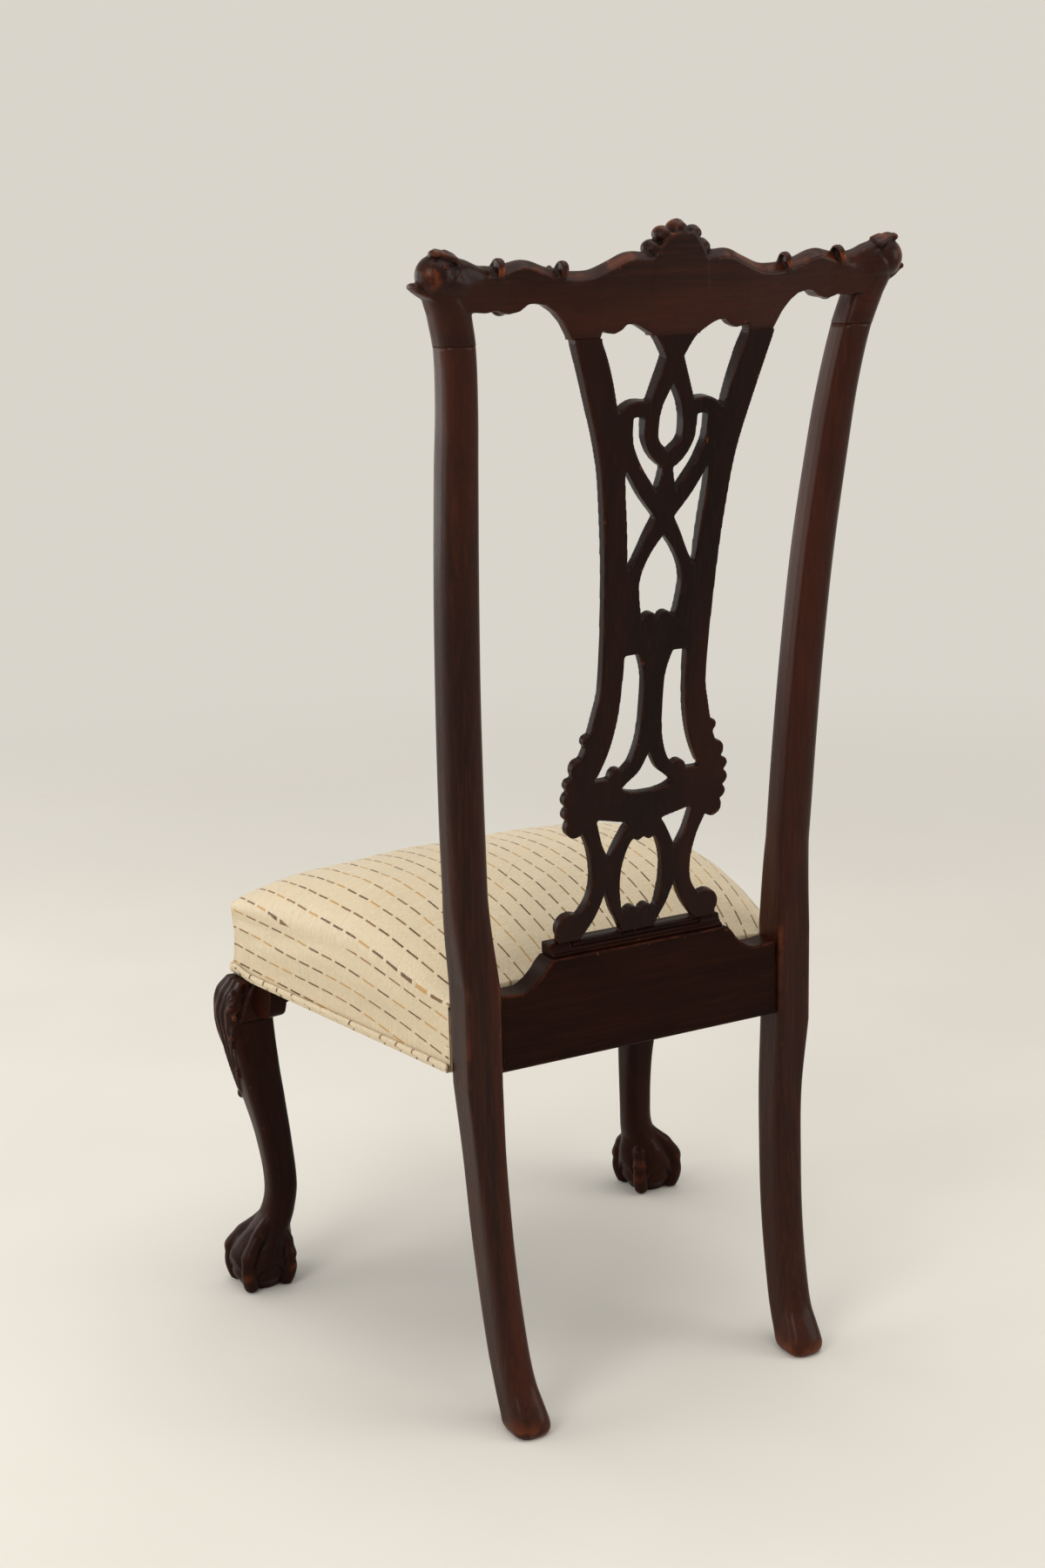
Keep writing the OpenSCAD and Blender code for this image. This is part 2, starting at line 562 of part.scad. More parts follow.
// Heights of the rings in the ball and toes, as shares of the ball
foot_ring_shares = [0, 0.03, 0.09, 0.16, 0.24, 0.33, 0.42, 0.50, 0.58, 0.66, 0.74, 0.82, 0.90, 0.98,
    1.07, 1.17];
leg_ring_count = 20;
// Radius of the ball below the ankle, and how far the toes stand out
foot_radius_shares = [[0, 0.60], [0.05, 0.76], [0.15, 0.90], [0.27, 0.97], [0.47, 1], [0.64, 0.95],
    [0.79, 0.78], [0.91, 0.62], [1.03, 0.53], [1.22, 0.455]];
toe_shares = [[0, 0.02], [0.05, 0.10], [0.15, 0.18], [0.24, 0.25], [0.33, 0.16], [0.43, 0.27], [0.55, 0.17],
    [0.67, 0.31], [0.79, 0.27], [0.91, 0.19], [1.03, 0.12], [1.22, 0.02]];
toe_spread = 17;
first_toe = 45;
toe_angles = [for (k = [0 : 3]) first_toe + 90 * k];
function turned(a) = (a % 360 + 540) % 360 - 180;
function toe_bump(a) = max([for (toe = toe_angles) exp(-pow(turned(a - toe) / toe_spread, 2))]);
knee_corner = [seat_front_width / 2, seat_front];
function leg_centre(z) = let (t = z / rail_bottom)
    [knee_corner[0] - knee_width * smooth_at(leg_shares, t, 1),
        knee_corner[1] + knee_width * smooth_at(leg_shares, t, 2)];
function foot_ring(s) =
    let (z = s * ball_diameter, c = leg_centre(z), r = ball_diameter / 2 * lookup(s, foot_radius_shares),
        toe = ball_diameter / 2 * lookup(s, toe_shares))
    [for (i = [0 : leg_points - 1]) let (a = i * 360 / leg_points, q = r + toe * toe_bump(a))
        [c[0] + q * cos(a), c[1] + q * sin(a), z]];
function leg_ring(z) =
    let (t = z / rail_bottom, c = leg_centre(z), h = knee_width * smooth_at(leg_shares, t, 3),
        power = smooth_at(leg_shares, t, 4))
    [for (i = [0 : leg_points - 1]) let (a = i * 360 / leg_points, q = h * square_reach(a, power))
        [c[0] + q * cos(a), c[1] + q * sin(a), z]];
function block_ring(z) =
    let (cx = (block_x0 + block_x1) / 2, cy = (leg_block_front + block_y1) / 2,
        hx = (block_x1 - block_x0) / 2, hy = (block_y1 - leg_block_front) / 2)
    [for (i = [0 : leg_points - 1]) let (a = i * 360 / leg_points, q = 1 / max(abs(cos(a)), abs(sin(a))))
        [cx + hx * q * cos(a), cy + hy * q * sin(a), z]];
foot_top = foot_ring_shares[len(foot_ring_shares) - 1] * ball_diameter;
knee_top = rail_bottom - soft_gap;
module front_leg() {
    rings = concat([for (s = foot_ring_shares) foot_ring(s)],
        [for (i = [1 : leg_ring_count]) leg_ring(foot_top + (knee_top - foot_top) * i / leg_ring_count)],
        [block_ring(knee_top), block_ring(rail_top)]);
    color(wood) difference() {
        loft(rings, middle(rings[0]), middle(rings[len(rings) - 1]));
        front_rail_tenon(joint_gap);
        side_rail_front_tenon(joint_gap);
    }
}
module front_leg_left() left_right(1) front_leg();
module front_leg_right() left_right(-1) front_leg();

// Knee blocks: share of the length, share of the height
knee_block_shares = [[[0, 0], [0.60, 0.03]], [[0.60, 0.03], [0.78, 0.12], [0.90, 0.32], [1, 0.60]],
    [[1, 0.60], [1, 1]]];
knee_block_thickness = 21;
knee_steps = 10;
function knee_reach(k) = knee_width * max([for (i = [0 : knee_steps])
    let (t = 1 - knee_block_height / rail_bottom * i / knee_steps)
    smooth_at(leg_shares, t, k) + smooth_at(leg_shares, t, 3)]);
knee_inner_x = knee_corner[0] - knee_reach(1);
knee_inner_y = knee_corner[1] + knee_reach(2);
module knee_block_profile(before) {
    curve = scaled(strokes(knee_block_shares), knee_block_length, knee_block_height);
    polygon(concat(curve,
        [[knee_block_length, knee_block_height], [-before, knee_block_height], [-before, 0]]));
}
// The side block slants with its rail, and its front end is cut to the leg
module knee_block_side() {
    y0 = knee_inner_y + glue_gap;
    color(wood) difference() {
        translate([side_x(y0) - rail_inset, y0, rail_bottom - knee_block_height - glue_gap])
            rotate([0, 0, side_angle]) rotate([90, 0, 90]) translate([0, 0, -knee_block_thickness])
                linear_extrude(knee_block_thickness) knee_block_profile(overrun);
        translate([0, y0 - chair_depth, 0]) cube([seat_front_width, chair_depth, rail_bottom]);
    }
}
module knee_block_front() {
    x0 = knee_inner_x - glue_gap;
    z0 = rail_bottom - knee_block_height - glue_gap;
    color(wood) translate([x0, leg_block_front + knee_block_thickness, z0]) rotate([90, 0, 0])
        linear_extrude(knee_block_thickness) mirror([1, 0]) knee_block_profile(0);
}
module knee_block_side_left() left_right(1) knee_block_side();
module knee_block_side_right() left_right(-1) knee_block_side();
module knee_block_front_left() left_right(1) knee_block_front();
module knee_block_front_right() left_right(-1) knee_block_front();

// Corner blocks inside the frame, glued and screwed
corner_block_height = 38;
corner_block_run = 58;
corner_rear_share = 0.8;
corner_block_z = rail_bottom + (rail_height - corner_block_height) / 2;
front_rail_inner = leg_block_front + rail_thickness;
function side_inner(y) = side_x(y) - rail_inset - rail_thickness / cos(side_angle);
module corner_block_front() {
    y = front_rail_inner + glue_gap;
    y2 = block_y1 + corner_block_run;
    color(wood) difference() {
        translate([0, 0, corner_block_z]) linear_extrude(corner_block_height)
            polygon([[block_x0 - corner_block_run, y], [block_x0 - glue_gap, y],
                [block_x0 - glue_gap, block_y1 + glue_gap],
                [side_inner(block_y1) - glue_gap, block_y1 + glue_gap],
                [side_inner(y2) - glue_gap, y2]]);
        corner_screw_holes();
    }
}
module corner_block_rear() {
    y = rear_rail_front - glue_gap;
    y2 = post_front - corner_block_run * corner_rear_share;
    color(wood) difference() {
        translate([0, 0, corner_block_z]) linear_extrude(corner_block_height)
            polygon([[post_inner - corner_block_run, y], [post_inner - glue_gap, y],
                [post_inner - glue_gap, post_front - glue_gap],
                [side_inner(post_front) - glue_gap, post_front - glue_gap],
                [side_inner(y2) - glue_gap, y2]]);
        corner_screw_holes();
    }
}
module corner_block_front_left() left_right(1) corner_block_front();
module corner_block_front_right() left_right(-1) corner_block_front();
module corner_block_rear_left() left_right(1) corner_block_rear();
module corner_block_rear_right() left_right(-1) corner_block_rear();

// Screws through the corner blocks: one into the cross rail and one into the side rail
screw_radius = 2.1;
screw_head_radius = 4.2;
screw_head_height = 2.6;
screw_length = 34;
screw_bite = 14;
screw_share = 0.42;
screw_z = corner_block_z + corner_block_height / 2;
module screw(grow) {
    translate([0, 0, -screw_length]) cylinder(screw_length, screw_radius + grow, screw_radius + grow);
    translate([0, 0, -glue_gap])
        cylinder(screw_head_height, screw_head_radius + grow, screw_head_radius + grow);
}
module screw_head_way() {
    cylinder(screw_length, screw_head_radius + glue_gap, screw_head_radius + glue_gap);
}
// Runs its children at each screw's head, with +Z pointing back out of the wood
module at_corner_screws() {
    depth = screw_length - screw_bite;
    for (side = [1, -1]) left_right(side) {
        translate([block_x0 - corner_block_run * screw_share, front_rail_inner + depth, screw_z])
            rotate([-90, 0, 0]) children();
        translate([post_inner - corner_block_run * screw_share, rear_rail_front - depth, screw_z])
            rotate([90, 0, 0]) children();
        for (y = [block_y1 + corner_block_run * screw_share,
            post_front - corner_block_run * screw_share * corner_rear_share])
            translate([side_inner(y) - depth * cos(side_angle), y - depth * sin(side_angle), screw_z])
                rotate([0, 0, side_angle]) rotate([0, -90, 0]) children();
    }
}
module corner_screw_holes() {
    at_corner_screws() {
        screw(glue_gap / 2);
        screw_head_way();
    }
}
module corner_block_screws() {
    color("silver") at_corner_screws() screw(0);
}

// Webbing in two layers over the rails, then the hessian
webbing_thickness = 1.3;
webbing_count = 4;
web_front = seat_front + rail_inset + cover_thickness;
web_rear = rear_rail_front - glue_gap - soft_gap;
module webbing() {
    pitch_y = (web_rear - block_y1 - webbing_width) / webbing_count;
    back_half = seat_rear_width / 2 - post_width;
    color("tan") union() {
        for (i = [0 : webbing_count - 1]) {
            x = (i - (webbing_count - 1) / 2) / webbing_count * 2 * back_half;
            translate([x - webbing_width / 2, web_front, rail_top + glue_gap])
                cube([webbing_width, web_rear - web_front, webbing_thickness]);
        }
        for (i = [0 : webbing_count - 1]) {
            y = block_y1 + webbing_width / 2 + pitch_y * (i + 0.5);
            half = side_x(y + webbing_width / 2) - rail_inset - cover_thickness;
            translate([-half, y - webbing_width / 2, rail_top + glue_gap + webbing_thickness])
                cube([2 * half, webbing_width, webbing_thickness]);
        }
    }
}
hessian_thickness = 0.8;
hessian_z = rail_top + 2 * glue_gap + 2 * webbing_thickness;
module hessian() {
    inset = rail_inset + cover_thickness;
    y0 = seat_front + inset;
    color("burlywood") translate([0, 0, hessian_z]) linear_extrude(hessian_thickness)
        polygon([for (p = [[1, y0], [1, web_rear - inset], [-1, web_rear - inset], [-1, y0]])
            [p[0] * (side_x(p[1]) - inset), p[1]]]);
}

// Seat form: plan points run round the seat, and the top is crowned
corner_fold = 1.5;
plan_rear_points = 6;
plan_side_points = 7;
plan_corner_points = 4;
plan_front_points = 7;
function plan_half(inset) =
    let (y0 = seat_front + inset, y1 = seat_rear - inset, r = seat_corner_radius,
        x1 = side_x(y1) - inset, x0 = side_x(y0) - inset)
    concat([for (i = [0 : plan_rear_points]) [x1 * i / plan_rear_points, y1]],
        [for (i = [0 : plan_side_points])
            let (t = i / plan_side_points, y = y1 - corner_fold + (y0 + r - y1 + corner_fold) * t)
            [side_x(y) - inset, y]],
        [for (i = [1 : plan_corner_points]) let (a = -90 * i / plan_corner_points)
            [x0 - r + r * cos(a), y0 + r + r * sin(a)]],
        [for (i = [1 : plan_front_points]) [(x0 - r) * (1 - i / plan_front_points), y0]]);
function plan(inset) = let (h = plan_half(inset), n = len(h))
    concat(h, [for (i = [n - 2 : -1 : 1]) [-h[i][0], h[i][1]]]);
edge_shares = [[0, 0.91], [0.3, 0.97], [0.6, 1], [1, 0.80]];
crown_power = 5;
crown_front_share = 0.3;
crown_rear_share = 0.25;
crown_front_run_share = 0.55;
crown_rear_run_share = 0.45;
// The crown's curves: a power sets how flat the middle is, and a root how full the edge is
crown_side_root = 0.55;
crown_front_power = 2.6;
crown_front_root = 0.62;
crown_rear_power = 2.2;
crown_rear_root = 0.8;
function rise(u, power, root) = pow(max(0, 1 - pow(min(1, max(0, u)), power)), root);
function seat_top(x, y) =
    let (v = (y - seat_front) / seat_run,
        side = rise(abs(x) / side_x(y), crown_power, crown_side_root),
        front = crown_front_share + (1 - crown_front_share)
            * rise(1 - v / crown_front_run_share, crown_front_power, crown_front_root),
        rear = crown_rear_share + (1 - crown_rear_share)
            * rise(1 - (1 - v) / crown_rear_run_share, crown_rear_power, crown_rear_root))
    rail_bottom + seat_edge_height * smooth_at(edge_shares, v, 1) + seat_crown * side * front * rear;
// Rings of the side wall: share of its height, how far the side draws in
wall_shares = [[0, 0], [0.3, 1], [0.62, 1], [0.86, 0.4]];
// Rings of the top: shares of the way to the middle
top_shares = [0, 0.025, 0.07, 0.14, 0.25, 0.40, 0.58, 0.78];
seat_middle = [0, (seat_front + seat_rear) / 2];
// The rear wall stops above the webbing, and the others go down to the given level
function wall_ring(row, inset, side_low) =
    [for (p = plan(inset + draw_in * row[1]))
        let (rear = p[1] > seat_rear - inset - draw_in * row[1] - corner_fold / 2,
            low = rear ? pad_low : side_low)
        [p[0], p[1], low + row[0] * (seat_top(p[0], p[1]) - inset - low)]];
function top_ring(share, inset) =
    [for (p = plan(inset)) let (x = p[0] * (1 - share), y = p[1] + (seat_middle[1] - p[1]) * share)
        [x, y, seat_top(x, y) - inset]];
function form_rings(inset, low) = concat([for (row = wall_shares) wall_ring(row, inset, low)],
    [for (s = top_shares) top_ring(s, inset)]);
function apex(inset) = [seat_middle[0], seat_middle[1], seat_top(0, seat_middle[1]) - inset];
module seat_cover() {
    color(cloth) loft(concat(reversed(form_rings(0, rail_bottom)), form_rings(cover_thickness, rail_bottom)),
        apex(0), apex(cover_thickness));
}
pad_inset = cover_thickness + soft_gap;
pad_low = hessian_z + hessian_thickness + soft_gap;
module seat_pad() {
    color("wheat") loft(form_rings(pad_inset, pad_low), [0, seat_middle[1], pad_low], apex(pad_inset));
}

// Welt along the lower edge of the cover, round the front and both sides
welt_thickness = 2.6;
welt_gap = 0.15;
module welt() {
    color(cloth) translate([0, 0, rail_bottom]) linear_extrude(welt_height) difference() {
        polygon(plan(-welt_gap - welt_thickness));
        polygon(plan(-welt_gap));
        translate([-seat_front_width, seat_rear - soft_gap]) square([2 * seat_front_width, chair_depth]);
    }
}

// Dust cover under the frame with its tacks
dust_cover_thickness = 0.6;
dust_inset = 9;
dust_gap = 1;
dust_slack = 14;
tack_head_radius = 3.6;
tack_head_height = 0.9;
tack_radius = 0.8;
tack_length = 9;
tack_count = 8;
dust_z = rail_bottom - glue_gap - dust_cover_thickness;
tack_line_share = 0.62;
tack_line = rail_inset + rail_thickness * tack_line_share;
module dust_cover() {
    y0 = seat_front + dust_inset;
    y1 = rear_rail_front + rear_rail_thickness - dust_inset;
    bx = knee_inner_x - knee_block_length - dust_gap;
    by = knee_inner_y + knee_block_length + dust_gap;
    ix = side_x(by) - rail_inset - knee_block_thickness - dust_slack;
    iy = leg_block_front + knee_block_thickness + dust_gap;
    px = post_inner - dust_gap;
    py = post_front - dust_gap;
    half = [[bx, y0], [bx, iy], [ix, iy], [ix, by], [side_x(by) - dust_inset, by],
        [side_x(py) - dust_inset, py], [px, py], [px, y1]];
    color("#222222") difference() {
        translate([0, 0, dust_z]) linear_extrude(dust_cover_thickness) polygon(concat(half, mirrored(half)));
        cover_tack_holes();
    }
}
// Runs its children under the rails, where each tack goes in
module at_tacks() {
    span = knee_inner_x - knee_block_length - 2 * dust_inset;
    y0 = knee_inner_y + knee_block_length + 2 * dust_inset;
    y1 = post_front - 2 * dust_inset;
    for (i = [0 : tack_count - 1]) {
        t = i / (tack_count - 1);
        translate([span * (2 * t - 1), seat_front + tack_line, dust_z]) children();
        y = y0 + (y1 - y0) * t;
        for (side = [1, -1]) translate([side * (side_x(y) - tack_line), y, dust_z]) children();
    }
}
module tack(grow) {
    translate([0, 0, -tack_head_height]) cylinder(tack_head_height, tack_head_radius, tack_head_radius);
    cylinder(tack_length, tack_radius + grow, tack_radius + grow);
}
module cover_tack_holes() {
    at_tacks() tack(glue_gap);
}
module dust_cover_tacks() {
    color("dimgray") at_tacks() tack(0);
}

rear_post_left();
rear_post_right();
crest_rail();
splat();
splat_shoe();
rear_rail();
side_rail_left();
side_rail_right();
front_rail();
front_leg_left();
front_leg_right();
knee_block_side_left();
knee_block_side_right();
knee_block_front_left();
knee_block_front_right();
corner_block_front_left();
corner_block_front_right();
corner_block_rear_left();
corner_block_rear_right();
corner_block_screws();
webbing();
hessian();
seat_pad();
seat_cover();
welt();
dust_cover();
dust_cover_tacks();
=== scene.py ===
from math import cos, pi, radians, sin, sqrt, tan

import bmesh
import bpy
import numpy as np
from mathutils import Matrix, Vector
from mathutils.bvhtree import BVHTree


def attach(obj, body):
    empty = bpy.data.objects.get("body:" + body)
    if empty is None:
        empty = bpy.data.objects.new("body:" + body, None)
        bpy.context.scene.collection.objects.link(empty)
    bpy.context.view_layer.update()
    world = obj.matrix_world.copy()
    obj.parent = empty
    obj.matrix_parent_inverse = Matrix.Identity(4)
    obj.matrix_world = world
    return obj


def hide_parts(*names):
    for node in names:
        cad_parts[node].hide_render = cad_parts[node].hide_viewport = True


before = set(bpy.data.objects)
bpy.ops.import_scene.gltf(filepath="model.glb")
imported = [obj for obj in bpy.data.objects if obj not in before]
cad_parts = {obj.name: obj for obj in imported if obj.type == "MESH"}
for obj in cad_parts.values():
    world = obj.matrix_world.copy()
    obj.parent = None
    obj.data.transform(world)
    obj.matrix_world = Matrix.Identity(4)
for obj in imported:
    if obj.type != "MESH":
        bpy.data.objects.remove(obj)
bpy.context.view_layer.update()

MM = .001
columns, norm = np.column_stack, np.linalg.norm

# ---- sizes, in millimetres
BACK_HEIGHT, HALF_DEPTH, LEAN = 1101.0, 257.5, radians(8)
RAIL_BOTTOM, RAIL_TOP, RAIL_INSET = 340.0, 400.0, 3.1
REAR_RAIL_TOP, REAR_RAIL_THICK = 441.0, 28
CREST_JOINT, CREST_HEIGHT, CREST_BOARD = 1004.5, 96.5, 22
SEAT_FRONT_WIDTH, SEAT_REAR_WIDTH, COVER = 498.0, 380.0, 1.2
POST_WIDTH, POST_DEPTH, KNEE = 36, 38, 52


def back_y(z):
    """Where the back's rear face is at a height."""
    return HALF_DEPTH - tan(LEAN) * (BACK_HEIGHT - z)


REAR_RAIL_BACK = back_y(REAR_RAIL_TOP) + 9
POST_BACK = REAR_RAIL_BACK + 5
POST_FRONT = POST_BACK - POST_DEPTH
SEAT_FRONT = -HALF_DEPTH + 11.5
SEAT_REAR = POST_FRONT - .3
SEAT_RUN, SEAT_MIDDLE = SEAT_REAR - SEAT_FRONT, (SEAT_FRONT + SEAT_REAR) / 2
SIDE_SLOPE = (SEAT_FRONT_WIDTH - SEAT_REAR_WIDTH) / 2 / SEAT_RUN


def side_x(y):
    """Where the seat's side is at a depth."""
    return SEAT_REAR_WIDTH / 2 + SIDE_SLOPE * (SEAT_REAR - y)


# ---- numbers
def smooth_at(rows, t, k):
    """Smooth curve through a table's column k, at t in its first column."""
    rows, t = np.asarray(rows, float), np.asarray(t, float)
    last = len(rows) - 1
    i = np.clip(np.searchsorted(rows[:, 0], t, side="right") - 1, 0, last - 1)

    def slope(j):
        a, b = rows[np.maximum(j - 1, 0)], rows[np.minimum(j + 1, last)]
        return (b[..., k] - a[..., k]) / (b[..., 0] - a[..., 0])

    a, b = rows[i], rows[i + 1]
    h = b[..., 0] - a[..., 0]
    u = (t - a[..., 0]) / h
    return (a[..., k] * (1 + 2 * u) * (1 - u) ** 2 + b[..., k] * u * u * (3 - 2 * u)
            + h * slope(i) * u * (1 - u) ** 2 - h * slope(i + 1) * u * u * (1 - u))


def table(rows, s):
    """Straight lines through a table of two columns."""
    rows = np.asarray(rows, float)
    return np.interp(s, rows[:, 0], rows[:, 1])


def ramp(v, start, run):
    """From 0 at start to 1 a run further on, which may be negative."""
    return np.clip((v - start) / run, 0, 1)


def bell(v, middle, width):
    return np.exp(-((v - middle) / width) ** 2)


def square_reach(a, power):
    """How far out a squared circle is at an angle: power 2 is round, and more is squarer."""
    return (np.abs(np.cos(a)) ** power + np.abs(np.sin(a)) ** power) ** (-1 / power)


def circle_angles(n):
    return np.arange(n) * 2 * pi / n


def level_ring(x, y, z, r, a):
    """Points round a centre at one height, or at a height each."""
    return columns([x + r * np.cos(a), y + r * np.sin(a), np.broadcast_to(z, len(a))])


def resized(ring, share):
    return ring.mean(0) + (ring - ring.mean(0)) * share


# ---- mesh helpers
def raw_object(name, verts, faces):
    mesh = bpy.data.meshes.new(name)
    mesh.from_pydata((np.asarray(verts, float) * MM).tolist(), [], faces)
    return placed(name, mesh)


def placed(name, data):
    obj = bpy.data.objects.new(name, data)
    bpy.context.scene.collection.objects.link(obj)
    return obj


def outward(obj):
    bm = bmesh.new()
    bm.from_mesh(obj.data)
    bmesh.ops.recalc_face_normals(bm, faces=bm.faces)
    bm.to_mesh(obj.data)
    bm.free()


def solid(name, verts, faces, smooth=True):
    obj = raw_object(name, verts, faces)
    outward(obj)
    if smooth:
        obj.data.shade_smooth()
    return obj


def pulled(items, key, width=1, kind=np.float32):
    """A number or vector from each element of a mesh."""
    flat = np.empty(len(items) * width, kind)
    items.foreach_get(key, flat)
    return flat.reshape(-1, width) if width > 1 else flat


def points_of(mesh):
    return pulled(mesh.vertices, "co", 3).astype(float) / MM


def set_points(mesh, pts):
    mesh.vertices.foreach_set("co", (np.asarray(pts) * MM).astype(np.float32).ravel())
    mesh.update()


def edges_of(mesh):
    return pulled(mesh.edges, "vertices", 2, np.int32)


def normals_of(mesh):
    return pulled(mesh.vertices, "normal", 3).astype(float)


def loops_of(mesh):
    return pulled(mesh.loops, "vertex_index", 1, np.int32)


def relax(v, e, rounds, amount=.5):
    """Each point moved towards the mean of its neighbours."""
    n = len(v)
    deg = np.bincount(e.ravel(), minlength=n).astype(float)[:, None]
    one = v.ndim == 1
    v = v[:, None] if one else v
    for _ in range(rounds):
        s = np.stack([np.bincount(e[:, 0], v[e[:, 1], k], n) + np.bincount(e[:, 1], v[e[:, 0], k], n)
                      for k in range(v.shape[1])], 1) / deg
        v = v + amount * (s - v)
    return v[:, 0] if one else v


def put_attribute(mesh, name, values, kind="FLOAT", domain="POINT", key="value"):
    layer = mesh.attributes.get(name) or mesh.attributes.new(name, kind, domain)
    layer.data.foreach_set(key, np.asarray(values, np.float32).ravel())


def put_cloth(mesh, uv):
    """Millimetres across and along the cloth at each corner of each face, kept in metres."""
    put_attribute(mesh, "cloth", uv * MM, "FLOAT_VECTOR", "CORNER", "vector")


def baked(obj):
    """The object's mesh with its modifiers applied, as a new object; the old one goes."""
    graph = bpy.context.evaluated_depsgraph_get()
    mesh = bpy.data.meshes.new_from_object(obj.evaluated_get(graph))
    name = obj.name
    bpy.data.objects.remove(obj)
    return placed(name, mesh)


def skinned(obj, voxel):
    """The object with one even skin of voxels."""
    mod = obj.modifiers.new("Skin", "REMESH")
    mod.mode, mod.voxel_size = "VOXEL", voxel * MM
    return baked(obj)


def shaded(obj, worn=None, reach=.5, rounds=8):
    """Smooth shading, and attributes that say where an edge stands out, sits deep or is worn; on the crest,
    worn also holds the painted highlight along the top edge.
    """
    mesh = obj.data
    mesh.shade_smooth()
    v, e = points_of(mesh), edges_of(mesh)
    relief = ((v - relax(v, e, rounds)) * normals_of(mesh)).sum(1) / reach
    put_attribute(mesh, "relief", np.clip(relax(relief, e, 1), -1, 1))
    put_attribute(mesh, "worn", np.zeros(len(v)) if worn is None else worn(v))


def loft(rings):
    """Closed surface through rings of equal count, with a fan at each end."""
    m, n = len(rings), len(rings[0])
    pts = np.concatenate([*rings, [np.mean(rings[0], 0)], [np.mean(rings[-1], 0)]])
    faces = [(j * n + i, j * n + (i + 1) % n, (j + 1) * n + (i + 1) % n, (j + 1) * n + i)
             for j in range(m - 1) for i in range(n)]
    for i in range(n):
        k = (i + 1) % n
        faces += [(m * n, k, i), (m * n + 1, (m - 1) * n + i, (m - 1) * n + k)]
    return pts, faces


def tube(path, radii, sides=16, squash=1.0, up=None, square=2.0):
    """A closed tube along a smooth path, with a radius at each point."""
    path = np.asarray(path, float)
    fine = np.linspace(0, 1, (len(path) - 1) * 5 + 1)
    rows = columns([np.linspace(0, 1, len(path)), path, np.asarray(radii, float)])
    p = columns([smooth_at(rows, fine, k) for k in (1, 2, 3)])
    r = np.maximum(smooth_at(rows, fine, 4), .2)
    d = np.gradient(p, axis=0)
    d /= norm(d, axis=1)[:, None] + 1e-9
    side = np.array(up if up is not None else ([0, 0, 1] if abs(d[0][2]) < .8 else [1, 0, 0]), float)
    rings = []
    a = circle_angles(sides)
    near, far = np.cos(a) * square_reach(a, square), np.sin(a) * square_reach(a, square)
    for q, w, h in zip(p, r, d):
        side = side - h * side.dot(h)
        side /= norm(side)
        rings.append(q + w * (np.outer(near, np.cross(h, side)) + squash * np.outer(far, side)))
    caps = ((.4, .9), (.8, .6))
    first = [p[0] + (rings[0] - p[0]) * s - d[0] * r[0] * c for s, c in caps]
    last = [p[-1] + (rings[-1] - p[-1]) * s + d[-1] * r[-1] * c for s, c in caps[::-1]]
    return loft(first + rings + last)


def ball(centre, radii, turn=None, rows=14, sides=20):
    a = circle_angles(sides)
    tilts = [pi * k / rows for k in range(1, rows)]
    pts, faces = loft([columns([np.sin(t) * np.cos(a), np.sin(t) * np.sin(a), np.full(sides, -np.cos(t))])
                       for t in tilts])
    pts[-2], pts[-1] = (0, 0, -1), (0, 0, 1)
    pts = pts * np.asarray(radii, float)
    if turn is not None:
        pts = pts @ np.asarray(turn).T
    return pts + np.asarray(centre, float), faces


def block(low, high):
    v = np.array([(x, y, z) for x in (low[0], high[0]) for y in (low[1], high[1])
                  for z in (low[2], high[2])], float)
    return v, [(0, 1, 3, 2), (4, 6, 7, 5), (0, 4, 5, 1), (2, 3, 7, 6), (0, 2, 6, 4), (1, 5, 7, 3)]


def flipped(part):
    v, f = part
    return v * np.array([-1, 1, 1]), [tuple(reversed(q)) for q in f]


def joined(parts):
    """Several parts' points and faces as one."""
    verts, faces, base = [], [], 0
    for v, f in parts:
        verts.append(v)
        faces += [tuple(i + base for i in q) for q in f]
        base += len(v)
    return np.concatenate(verts), faces


TURN = np.array([[1, 0, 0], [0, cos(LEAN), -sin(LEAN)], [0, sin(LEAN), cos(LEAN)]])


def fuse(name, parts, voxel, rounds=2, leaning=False, low=None):
    """One closed skin round all the parts, as a carver's single piece of wood."""
    verts, faces = joined(parts)
    obj = skinned(solid(name, verts @ TURN.T if leaning else verts, faces, False), voxel)
    v = relax(points_of(obj.data), edges_of(obj.data), rounds)
    if leaning:
        v = v @ TURN
    if low is not None:
        v[:, 2] = np.maximum(v[:, 2], low)
    set_points(obj.data, v)
    return obj


def trimmed(obj, level, above=False):
    """The piece cut off flat at a level, with a crisp edge where it meets its neighbour."""
    bm = bmesh.new()
    bm.from_mesh(obj.data)
    done = bmesh.ops.bisect_plane(bm, geom=bm.verts[:] + bm.edges[:] + bm.faces[:], clear_outer=above,
                                  clear_inner=not above, plane_co=(0, 0, level * MM), plane_no=(0, 0, 1))
    rim = [e for e in done["geom_cut"] if isinstance(e, bmesh.types.BMEdge)]
    bmesh.ops.holes_fill(bm, edges=rim, sides=0)
    for e in rim:
        e.smooth = False
    bm.to_mesh(obj.data)
    bm.free()


def mirrored(obj, name):
    """The same piece on the other side of the chair."""
    mesh = obj.data.copy()
    set_points(mesh, points_of(mesh) * [-1, 1, 1])
    mesh.flip_normals()
    return placed(name, mesh)


